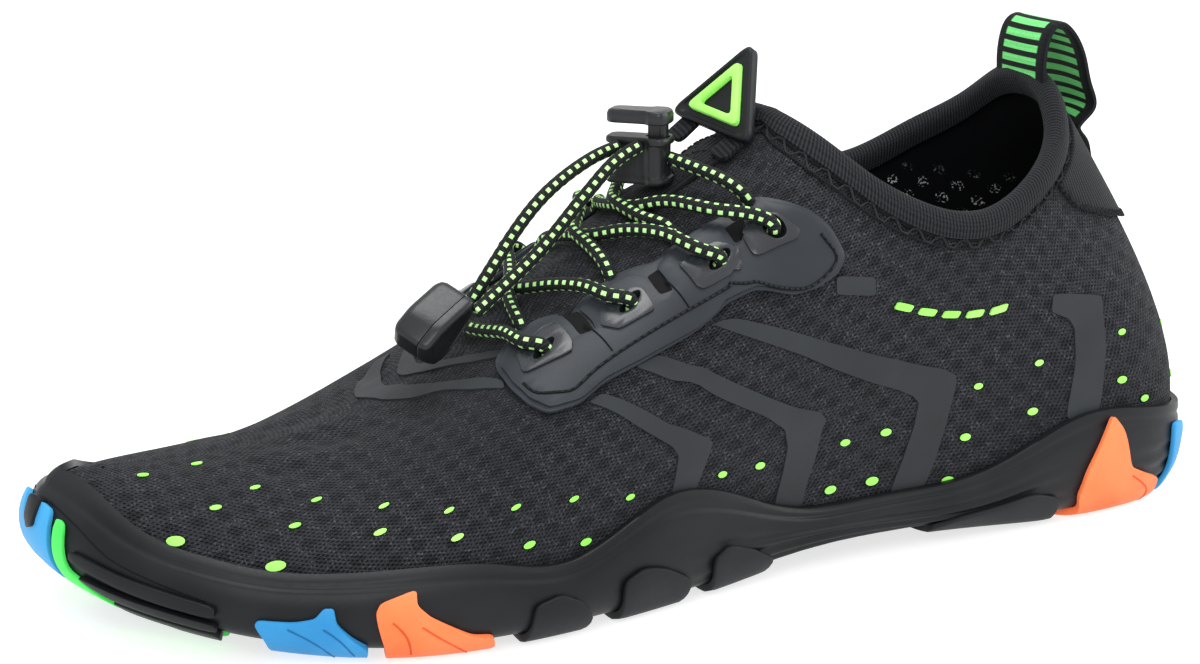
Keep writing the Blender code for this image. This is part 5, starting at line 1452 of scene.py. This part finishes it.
# %% [markdown]
# Lace goes through the eyelets and crosses over the instep, under the lips of the opposite stay.
# Each strand is one smooth tube through a few given points, and it dives into its eyelet and
# under the lip. Elastic lace shows its green picks evenly because it is under tension.
# %% Lace over the instep
CROSSINGS = {
    "lower": [
        (9.35, 0.612, -0.0010), (9.34, 0.622, 0.0030), (9.56, 0.650, 0.0048), (9.80, 0.712, 0.0048),
        (10.05, 0.785, 0.0042), (10.28, 0.863, 0.0034), (10.48, 0.945, 0.0028), (10.60, 1.0, 0.0027),
        (10.64, 1.080, 0.0026), (10.58, 1.170, 0.0024), (10.54, 1.215, 0.0008)],
    "middle": [
        (8.31, 0.609, -0.0010), (8.30, 0.619, 0.0030), (8.63, 0.650, 0.0048), (8.99, 0.713, 0.0048),
        (9.28, 0.778, 0.0044), (9.58, 0.862, 0.0034), (9.82, 0.935, 0.0028), (9.95, 1.0, 0.0026),
        (9.90, 1.090, 0.0026), (9.76, 1.195, 0.0024), (9.68, 1.250, 0.0008)],
    "upper": [
        (7.54, 0.677, -0.0010), (7.56, 0.686, 0.0032), (8.05, 0.680, 0.0050), (8.50, 0.725, 0.0048),
        (8.88, 0.790, 0.0040), (9.19, 0.868, 0.0032), (9.44, 0.935, 0.0026), (9.56, 1.0, 0.0024),
        (9.48, 1.090, 0.0024), (9.33, 1.160, 0.0024), (9.14, 1.215, 0.0020), (8.98, 1.270, 0.0006)],
}
BAR = [
    (10.18, 0.630, -0.0010), (10.19, 0.641, 0.0030), (10.40, 0.680, 0.0044), (10.62, 0.765, 0.0040),
    (10.83, 0.855, 0.0032), (10.97, 0.940, 0.0028), (11.02, 1.0, 0.0027), (10.97, 1.060, 0.0028),
    (10.83, 1.145, 0.0032), (10.62, 1.235, 0.0040), (10.40, 1.320, 0.0044), (10.19, 1.359, 0.0030),
    (10.18, 1.370, -0.0010)]


def strand(route, count, turned_over=False):
    route = np.array(route)
    if turned_over:
        route[:, 1] = 2 - route[:, 1]
    points = np.concatenate([over_ridge(station, across, offset) for station, across, offset in route])
    return even_steps(smooth_curve(points), len(points), count)


lengths = 0.0
for name, route in CROSSINGS.items():
    lines = [strand(route, 90), strand(route, 90, turned_over=True)]
    lines[1][:, 2] += 0.0009 * np.sin(np.linspace(0, math.pi, 90))
    lengths += sum(run_along(line)[-1] for line in lines)
    add_tubes(f"lace_over_{name}", lines, LACE_RADIUS, LACE_FACETS, braided_lace, "lace",
              replaces=[f"lace_cross_{name}"])
bar = strand(BAR, 90)
lengths += run_along(bar)[-1]
add_tubes("lace_over_bar", [bar], LACE_RADIUS, LACE_FACETS, braided_lace, "lace", replaces=["lace_bar"])
print("lace over the instep, mm", round(1000 * lengths))

# %% [markdown]
# The badge is a thick moulded triangle sewn on by two tabs at its foot, with a raised green ring. It
# is drawn as a stack of outlines from back to front, and its edge is chamfered in two steps so that
# it catches a thin line of light.
# %% Badge, its ring and its tabs
BADGE_SIDE = 0.0255
BADGE_THICKNESS = 0.0030
BADGE_STATION = 8.61
BADGE_RISE = 0.0040
BADGE_ACROSS = (-0.26, 0.95, -0.16)


def ridge_point(station):
    return ridge_line(station - COLLAR_FRONT)[0]


def frame_place(origin, across, up):
    """Return a function that places flat points and a level in a tilted frame."""
    across = np.asarray(across, float) / np.linalg.norm(across)
    normal = np.cross(across, up)
    normal /= np.linalg.norm(normal)
    upward = np.cross(normal, across)

    def place(u, v, level):
        return origin + u[:, None] * across + v[:, None] * upward + level[:, None] * normal
    return place


def add_stack(name, outline, place, rows, material, slot,
              centre=(0.0, 0.0), closed=False, **options):
    """Make a solid from rows of level, scale and share of the way to a second centre."""
    outline = np.asarray(outline, float)
    rings = []
    for level, scale, shift in rows:
        flat = outline * scale + np.array(centre) * shift
        rings.append(place(flat[:, 0], flat[:, 1], np.full(len(flat), level)))
    count = len(outline)
    faces = ring_quads(len(rings), count, closed_ring=closed)
    if not closed:
        faces += [tuple(reversed(range(count))), tuple((len(rings) - 1) * count + i for i in range(count))]
    points = np.concatenate(rings)
    return add_piece(name, points, faces, material, slot, points[:, :2], **options)


def add_badge():
    origin = ridge_point(BADGE_STATION) + np.array([0.0, 0.0, BADGE_RISE])
    place = frame_place(origin, BADGE_ACROSS, (-0.52, 0.0, 0.85))
    height = BADGE_SIDE * math.sqrt(3) / 2
    corners = [(-BADGE_SIDE / 2, -height / 3), (BADGE_SIDE / 2, -height / 3), (0.0, height * 2 / 3)]
    outline = rounded(corners, 0.14, 8)

    def raised(u, v, level):
        return place(u, v + height / 3, level)
    half = BADGE_THICKNESS / 2
    floor = half - 0.0004
    add_stack("badge_plate", outline, raised, [
        (-half, 0.96, 0), (0.0004 - half, 1.0, 0), (half - 0.0005, 1.0, 0),
        (half - 0.0001, 0.965, 0), (half, 0.93, 0), (half, 0.86, 0), (floor, 0.83, 0),
        (floor, 0.70, 0), (floor, 0.32, 0), (floor, 0.02, 0)],
        side_rubber, "black_rubber", replaces=["badge"], angle=50)
    add_stack("badge_ring", outline, raised, [
        (floor, 0.66, 0), (half + 0.0007, 0.64, 0), (half + 0.0009, 0.60, 0),
        (half + 0.0009, 0.44, 0), (half + 0.0007, 0.40, 0), (floor, 0.38, 0)],
        print_green, "green_rubber", closed=True, replaces=["badge_emblem"], angle=50)
    for number, shift in enumerate((-0.0072, 0.0072)):
        foot = place(np.array([shift]), np.array([0.0]), np.array([-half + 0.0006]))[0]
        tab = [(-0.0026, -0.0062), (0.0026, -0.0062), (0.0024, 0.0022), (-0.0024, 0.0022)]
        leaned = frame_place(foot, BADGE_ACROSS, (-0.86, 0.0, 0.50))
        piece = add_stack(f"badge_tab_{number}", rounded(tab, 0.25, 4), leaned,
                          [(-0.0006, 1, 0), (0.0006, 1, 0)], strap_tape, "rib_tape")
        bevel_edges(piece, 0.0002)


add_badge()
print("badge, mm on a side", 1000 * BADGE_SIDE)

# %% [markdown]
# The cord lock is a spring-loaded toggle: a body with a boss at one end and a button that slides in
# it. The lace runs through both. The body was sparked in its mould, so it has a coarse matte grain,
# and its flanges are left proud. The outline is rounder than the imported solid's, and no larger. The
# button rides on a body of its own, so that it can be pressed.
# %% Cord lock
LOCK_STATION = 9.37
LOCK_RISE = 0.0040
LOCK_WIDTH = 0.0150
LOCK_DEPTH = 0.0090
LOCK_HEIGHT = 0.0105
BUTTON_GAP = 0.0030
BUTTON_HEIGHT = 0.0030
LOCK_OUTLINE = [
    (-0.50, -0.36), (0.14, -0.36), (0.22, -0.50), (0.42, -0.50), (0.50, -0.24), (0.50, 0.24),
    (0.42, 0.50), (0.22, 0.50), (0.14, 0.36), (-0.50, 0.36)]


def lock_place(u, v, level):
    origin = ridge_point(LOCK_STATION) + np.array([0.0, 0.0, LOCK_RISE])
    return origin + np.stack([(v - u) * math.sqrt(0.5), (v + u) * math.sqrt(0.5), level], 1)


def add_cord_lock():
    outline = rounded(np.array(LOCK_OUTLINE) * (LOCK_WIDTH, LOCK_DEPTH), 0.32, 5)
    boss = (0.28 * LOCK_WIDTH, 0.0)
    flange = LOCK_HEIGHT * 0.14
    top, shaft = LOCK_HEIGHT, LOCK_HEIGHT * 0.25
    add_stack("lock_housing", outline, lock_place, [
        (0.0, 0.94, 0), (flange * 0.3, 0.99, 0), (flange * 0.6, 1.0, 0), (flange, 0.98, 0),
        (flange * 1.15, 0.91, 0), (flange * 1.4, 0.89, 0), (top / 2, 0.885, 0),
        (top - flange * 1.4, 0.89, 0), (top - flange * 1.15, 0.91, 0), (top - flange, 0.98, 0),
        (top - flange * 0.6, 1.0, 0), (top - flange * 0.2, 0.985, 0), (top, 0.94, 0),
        (top, 0.36, 1), (shaft, 0.36, 1)],
        lock_plastic, "plastic", centre=boss, replaces=["cord_lock_body"], angle=40)
    cap = top + BUTTON_GAP
    add_stack("lock_button", outline, lock_place, [
        (shaft + BUTTON_GAP, 0.30, 1), (cap, 0.30, 1), (cap, 0.93, 0), (cap + 0.0003, 0.97, 0),
        (cap + BUTTON_HEIGHT * 0.65, 0.97, 0), (cap + BUTTON_HEIGHT * 0.9, 0.93, 0),
        (cap + BUTTON_HEIGHT, 0.85, 0)], clip_plastic, "plastic", centre=boss,
        replaces=["cord_lock_button"], body="lock_button", angle=40)


add_cord_lock()
print("lock height, mm", round(1000 * (LOCK_HEIGHT + BUTTON_GAP + BUTTON_HEIGHT), 1))

# %% [markdown]
# The lace ends are caught in a small two-part clip. Its halves are snapped together round the knots,
# so a seam runs round it. It lies on the vamp as the laces hold it, turned outward and leaned over, a
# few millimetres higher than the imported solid. Each half is a stack of outlines.
# %% Lace clip
# The clip's profile in metres from its middle, its width, and how far it is turned and leaned
CLIP_MIDDLE = Vector((0.1548, 0.0080, 0.0612))
CLIP_PROFILE = [
    (-0.0050, 0.0072), (0.0052, 0.0018), (0.0090, -0.0024), (0.0070, -0.0065), (0.0020, -0.0086),
    (-0.0020, -0.0064), (-0.0064, 0.0020)]
CLIP_WIDE = 0.0102
CLIP_TURN = math.radians(32)
CLIP_LEAN = math.radians(24)


def clip_point(u, v, level):
    """Return places on the clip: u forward, v up and level across it."""
    forward = np.array([math.cos(CLIP_TURN), math.sin(CLIP_TURN), 0.0])
    side = np.array([-math.sin(CLIP_TURN), math.cos(CLIP_TURN), 0.0])
    across = side * math.cos(CLIP_LEAN) - np.array([0.0, 0.0, math.sin(CLIP_LEAN)])
    upward = np.cross(forward, across)
    middle = np.array(CLIP_MIDDLE)
    return middle + u[:, None] * forward + v[:, None] * upward + (level[:, None] - CLIP_WIDE / 2) * across


def add_clip():
    outline = rounded(CLIP_PROFILE, 0.24, 6)
    seam, deep = CLIP_WIDE * 0.74, CLIP_WIDE
    base = add_stack("clip_base", outline, clip_point, [
        (0.0, 0.70, 0), (0.0003, 0.84, 0), (0.0010, 0.95, 0), (0.0020, 0.995, 0), (0.0030, 1.0, 0),
        (seam - 0.0006, 1.0, 0), (seam - 0.0002, 0.985, 0), (seam - 0.0002, 0.90, 0)],
        clip_plastic, "plastic", replaces=["lace_clip_base"], angle=40)
    lid = add_stack("clip_lid", outline, clip_point, [
        (seam, 0.90, 0), (seam, 0.985, 0), (seam + 0.0004, 1.0, 0), (deep - 0.0012, 0.99, 0),
        (deep - 0.0005, 0.95, 0), (deep - 0.0001, 0.86, 0), (deep, 0.74, 0), (deep - 0.0002, 0.70, 0)],
        clip_plastic, "plastic", replaces=["lace_clip_lid"], angle=40)
    return base, lid


clip_base, clip_lid = add_clip()
print("clip, mm wide", 1000 * CLIP_WIDE)

# %% [markdown]
# Two strands rise from the upper tabs into the lock, and the two free ends run from the lock to the
# clip.
# %% Lace at the lock and the free ends
def lock_spot(u, v, level):
    return lock_place(np.array([u]), np.array([v]), np.array([level]))[0]


def add_top_strands():
    middle = LOCK_HEIGHT * 0.55
    outer_end = lock_spot(LOCK_WIDTH / 2 - 0.0006, 0.0, middle)
    inner_end = lock_spot(LOCK_WIDTH * 0.1, -LOCK_DEPTH * 0.36 + 0.0006, middle)
    ends = {"outer": (outer_end, 0.722, 0.735, 0.795), "inner": (inner_end, 1.278, 1.265, 1.205)}
    for side, (end, hidden, low, high) in ends.items():
        start = over_ridge(8.06, hidden, 0.0012)[0]
        tab = over_ridge(8.14, low, 0.0030)[0]
        rise = over_ridge(8.45, high, 0.0046)[0]
        line = even_steps(smooth_curve([start, tab, rise, end]), 4, 60)
        add_tubes(f"lace_rise_{side}", [line], LACE_RADIUS, LACE_FACETS, braided_lace, "lace",
                  replaces=[f"lace_top_{side}"])
        print("strand to the lock", side, "mm", round(1000 * run_along(line)[-1]))


def add_lace_end(name):
    corners = LACE_ENDS[name]
    line = even_steps(smooth_curve(corners), len(corners), 120)
    line[0], line[-1] = corners[0], corners[-1]
    length = run_along(line)[-1]
    piece = add_tubes(f"lace_free_{name}", [line], LACE_RADIUS, LACE_FACETS, braided_lace, "lace",
                      replaces=[f"lace_end_{name}"])
    print("free lace", name, "mm", round(1000 * length, 1))


add_top_strands()
add_lace_end("high")
add_lace_end("low")

# %% [markdown]
# The cup sole is compression moulded in one piece. Its side wall is stepped: a thin rim that the
# knit is glued to, a shallow groove below it, and soft ribs round the arch and the heel that come
# from the mould. The steps are made in the wall itself, so they shade as real form.
# %% Cup sole
def wall_relief(station, around):
    """Return the side wall's relief in metres: a step below the rim, ribs at arch and heel."""
    number, _ = side_station(station)
    side = (around > 0.02) & (around < 0.98)
    step = -0.0004 * np.exp(-((around - 0.16) / 0.035)**2)
    arch = np.clip((number - 3.0) / 0.8, 0, 1) * np.clip((7.6 - number) / 0.8, 0, 1)
    heel = np.clip((2.4 - number) / 0.6, 0, 1)
    bend = 0.05 * np.sin(number * 2.4)
    low = np.clip((around - 0.30) / 0.15, 0, 1) * np.clip((0.96 - around) / 0.08, 0, 1)
    waves = 0.00035 * (arch + 0.7 * heel) * low * np.cos(2 * math.pi * (around + bend) / 0.17)
    return np.where(side, step + waves, 0.0)


def add_outsole():
    columns = 480
    station = np.arange(columns) * ROUND / columns
    levels = [2.0, 1.7, 1.4, 1.15, 1.04] + list(np.linspace(1.0, 0.0, 41))
    rings = []
    for level in levels:
        around = np.full(columns, level)
        rings.append(on_sole(station, around, wall_relief(station, around)[:, None]))
    rim = rim_share(station)[:, 0]
    rings += [on_upper(station, rim, GAP + RIM_WALL * share) for share in (0.6, 0.0)]
    rings += [on_upper(station, rim * share, -0.0002) for share in (0.9, 0.6)]
    points = np.concatenate(rings)
    number = np.tile(station, len(rings))
    height = np.repeat(levels + [0.0] * (len(rings) - len(levels)), columns)
    faces = ring_quads(len(rings), columns) + [tuple(reversed(range(columns)))]
    piece = add_piece("cup_sole", points, faces, side_rubber, "black_rubber", sole_map(number, height),
                      replaces=["outsole"], angle=55)
    print("sole points", len(piece.data.vertices))


def add_bed():
    """The bed of the sole inside the shoe, under the insole."""
    columns = 120
    station = np.arange(columns) * ROUND / columns
    bed = on_upper(station, 0.0, -0.0004)
    middle = centre_point(station, TREAD_DEPTH + BED_THICKNESS - GAP)
    points = np.concatenate([bed, (bed + middle) / 2, middle])
    faces = ring_quads(3, columns) + [tuple(range(2 * columns, 3 * columns))]
    add_piece("sole_bed", points, faces, foam_cloth, "foam", points[:, :2])


add_outsole()
add_bed()

# %% [markdown]
# The lugs are blocks of coloured and black rubber that climb from the tread onto the side. Their
# outlines come from the photo for the outer side and are mirrored for the inner one. Each block is
# a thick sheet with a rounded edge, laid out by station and way round the sole.
# %% Lugs and toe guard
LUGS = {
    "fore_blue": (blue_rubber, "blue_rubber", [
        (12.27, 0.54), (11.84, 0.52), (11.65, 0.47), (11.57, 0.36), (11.48, 0.36), (11.44, 0.52),
        (11.30, 0.68), (11.14, 0.84), (11.22, 1.32), (12.05, 1.36), (12.15, 0.76)]),
    "fore_orange": (orange_rubber, "orange_rubber", [
        (11.10, 0.42), (11.06, 0.32), (10.74, 0.22), (10.72, 0.36), (10.58, 0.48), (10.36, 0.60),
        (10.12, 0.74), (9.90, 0.78), (9.84, 0.96), (10.00, 1.32), (10.98, 1.36), (10.98, 0.86)]),
    "fore_black": (tread_rubber, "black_rubber", [
        (9.50, 0.46), (9.20, 0.36), (8.96, 0.50), (8.74, 0.80), (8.86, 1.30), (9.58, 1.34),
        (9.50, 0.90)]),
    "ball_black": (tread_rubber, "black_rubber", [
        (8.45, 0.52), (8.20, 0.48), (7.86, 0.58), (7.50, 0.74), (7.60, 1.30), (8.42, 1.34),
        (8.36, 0.92)]),
    "waist_black": (tread_rubber, "black_rubber", [
        (7.30, 0.60), (7.12, 0.48), (6.80, 0.54), (6.48, 0.72), (6.58, 1.26), (7.22, 1.30),
        (7.20, 0.92)]),
    "arch_black": (tread_rubber, "black_rubber", [
        (4.56, 0.86), (4.30, 0.66), (3.90, 0.60), (3.50, 0.56), (3.16, 0.70), (3.20, 1.26),
        (4.48, 1.30)]),
    "heel_orange": (orange_rubber, "orange_rubber", [
        (2.56, 0.06), (2.44, 0.22), (2.34, 0.54), (2.10, 0.62), (1.78, 0.72), (1.66, 0.96),
        (1.76, 1.34), (2.96, 1.36), (2.88, 0.92), (2.96, 0.72), (2.90, 0.50), (2.68, 0.22)]),
    "heel_blue": (blue_rubber, "blue_rubber", [
        (1.58, 0.22), (1.26, 0.22), (1.06, 0.46), (0.98, 0.72), (1.16, 1.22), (1.56, 1.24),
        (1.50, 0.84)]),
    "toe_green": (green_rubber, "green_rubber", [
        (14.56, 0.32), (14.44, 0.34), (14.40, 0.74), (14.22, 0.82), (14.02, 0.92), (13.80, 1.06),
        (12.72, 1.10), (12.74, 1.26), (14.20, 1.36), (14.52, 1.02)]),
    "toe_rib_low": (side_rubber, "black_rubber", [
        (13.98, 0.86), (13.40, 0.84), (12.72, 0.84), (12.72, 1.02), (13.74, 1.00)]),
    "toe_rib_middle": (side_rubber, "black_rubber", [
        (14.32, 0.72), (13.40, 0.67), (12.72, 0.68), (12.72, 0.80), (13.40, 0.80), (14.04, 0.82)]),
    "toe_rib_high": (side_rubber, "black_rubber", [
        (14.34, 0.50), (13.40, 0.45), (12.72, 0.47), (12.72, 0.60), (13.40, 0.60), (14.34, 0.60)]),
}
TOE_PAD = [
    (14.62, 0.30), (14.82, 0.28), (14.95, 0.46), (15.05, 0.46), (15.18, 0.28), (15.38, 0.30),
    (15.40, 1.00), (15.34, 1.32), (14.66, 1.32), (14.60, 1.00)]
LUG_NET = (0.16, 0.07)


def lug_thickness(station, around):
    return SIDE_STEP + (TREAD_DEPTH - SIDE_STEP) * np.clip((around - 0.8) / 0.3, 0, 1)


def add_lug(name, corners, material, slot, replaced):
    lug = add_sheet(name, on_sole, corners, material, slot, LUG_NET, 0.0001, lug_thickness,
                    mapping=sole_map, replaces=[replaced])
    bevel_edges(lug, 0.0004, 3)


for name, (material, slot, corners) in LUGS.items():
    for side in SIDES:
        outline = on_side(rounded(corners, 0.25, 3), side)
        add_lug(f"tread_{name}_{side}", outline, material, slot, f"lug_{name}_{side}")
add_lug("tread_toe_blue", rounded(TOE_PAD, 0.25, 3), blue_rubber, "blue_rubber", "lug_toe_blue")
print("lugs", len(SIDES) * len(LUGS) + 1)

# %% [markdown]
# Cuts part the coloured lugs into teeth, and a crease runs round the toe under the rim. Each is a
# thin tube of painted shade, darker than the rubber and sunk into it, because a real cut would need a
# far finer net. A black wedge parts the toe guard, and the two flat treads keep their solids and get a
# finish.
# %% Cuts, toe wedge and flat treads
# A name, a finish of painted shade, whether a lug carries it, and a line of station and way round the side
GROOVES = [
    ("toe_crease", shadow_gap, False, [
        (14.75, 0.26), (14.30, 0.31), (13.96, 0.38), (13.49, 0.40), (12.85, 0.45)]),
    ("fore_blue_split", blue_shade, True, [(11.90, 0.58), (11.66, 0.72), (11.50, 0.92), (11.46, 1.06)]),
    ("fore_blue_notch", blue_shade, True, [(11.56, 0.56), (11.40, 0.70), (11.28, 0.92)]),
    ("fore_orange_split", orange_shade, True, [(10.66, 0.56), (10.44, 0.72), (10.20, 0.92), (10.10, 1.06)]),
    ("fore_orange_notch", orange_shade, True, [(10.94, 0.50), (10.80, 0.66), (10.74, 0.90)]),
    ("heel_orange_split", orange_shade, True, [(2.30, 0.62), (2.10, 0.72), (1.94, 0.84), (1.90, 1.00)]),
]
WEDGE = [(14.78, 0.26), (14.81, 0.48), (14.90, 0.52), (14.96, 0.44), (14.97, 0.26)]

for name, material, on_a_lug, corners in GROOVES:
    for side in SIDES:
        station, around = path_along(corners, 40, side)
        lift = lug_thickness(station, around) - 0.0001 if on_a_lug else np.full(40, SUNK)
        groove = on_sole(station, around, lift[:, None])
        # Each groove is a tube of painted shade
        add_tubes(f"groove_{name}_{side}", [groove], 0.00026, 6, material, "black_rubber")
wedge = add_sheet("toe_wedge", on_sole, rounded(WEDGE, 0.2, 2), side_rubber, "black_rubber",
                  LUG_NET, 0.0, 0.0022, mapping=sole_map)
bevel_edges(wedge, 0.0003)
for name in ("heel_pad", "forefoot_pad"):
    print(name, "box", [round(v, 4) for v in np.array(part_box(name)).ravel()])
    finishes = bpy.data.objects[name].data.materials
    finishes.clear()
    finishes.append(tread_rubber)

# %% [markdown]
# The photo was taken on a lit white sweep with large soft sources and no hard shadow. A pale floor
# that glows a little takes only a faint contact shadow, one wide softbox stands on the camera's
# side, one hangs over the shoe and a third one behind the heel draws the edges.
# %% Floor, lights and sky
FLOOR_REACH = 4.0
FLOOR_LEVEL = -0.0001


def add_floor():
    material, shader, _ = new_finish("matte_white_floor", 0.9, specular=0.0)
    shader.inputs["Base Color"].default_value = to_linear("#B4B4B4")
    shader.inputs["Emission Color"].default_value = to_linear("#FFFFFF")
    shader.inputs["Emission Strength"].default_value = 0.72
    mesh = bpy.data.meshes.new("floor")
    signs = ((-1, -1), (1, -1), (1, 1), (-1, 1))
    corners = [(x * FLOOR_REACH, y * FLOOR_REACH, FLOOR_LEVEL) for x, y in signs]
    mesh.from_pydata(corners, [], [(0, 1, 2, 3)])
    mesh.materials.append(material)
    floor = bpy.data.objects.new("floor", mesh)
    bpy.context.scene.collection.objects.link(floor)


def add_softbox(name, place, target, width, height, watts):
    lamp = bpy.data.lights.new(name, "AREA")
    lamp.shape = "RECTANGLE"
    lamp.size, lamp.size_y, lamp.energy = width, height, watts
    box = bpy.data.objects.new(name, lamp)
    box.location = place
    box.rotation_euler = (Vector(target) - Vector(place)).to_track_quat("-Z", "Y").to_euler()
    bpy.context.scene.collection.objects.link(box)


add_floor()
add_softbox("softbox_front", (0.75, 1.10, 0.95), (0.10, 0.0, 0.05), 0.9, 0.6, 9.0)
add_softbox("softbox_top", (0.05, -0.05, 1.25), (0.10, 0.0, 0.05), 0.8, 0.6, 10.0)
add_softbox("softbox_heel", (-0.95, 0.35, 0.55), (0.05, 0.0, 0.06), 0.7, 0.7, 5.0)
world = bpy.data.worlds.new("sky")
world.use_nodes = True
bpy.context.scene.world = world
background = world.node_tree.nodes["Background"]
background.inputs["Color"].default_value = to_linear("#FFFFFF")
background.inputs["Strength"].default_value = 1.0
bpy.context.scene.view_settings.view_transform = "Standard"
print("lights", len(bpy.data.lights))
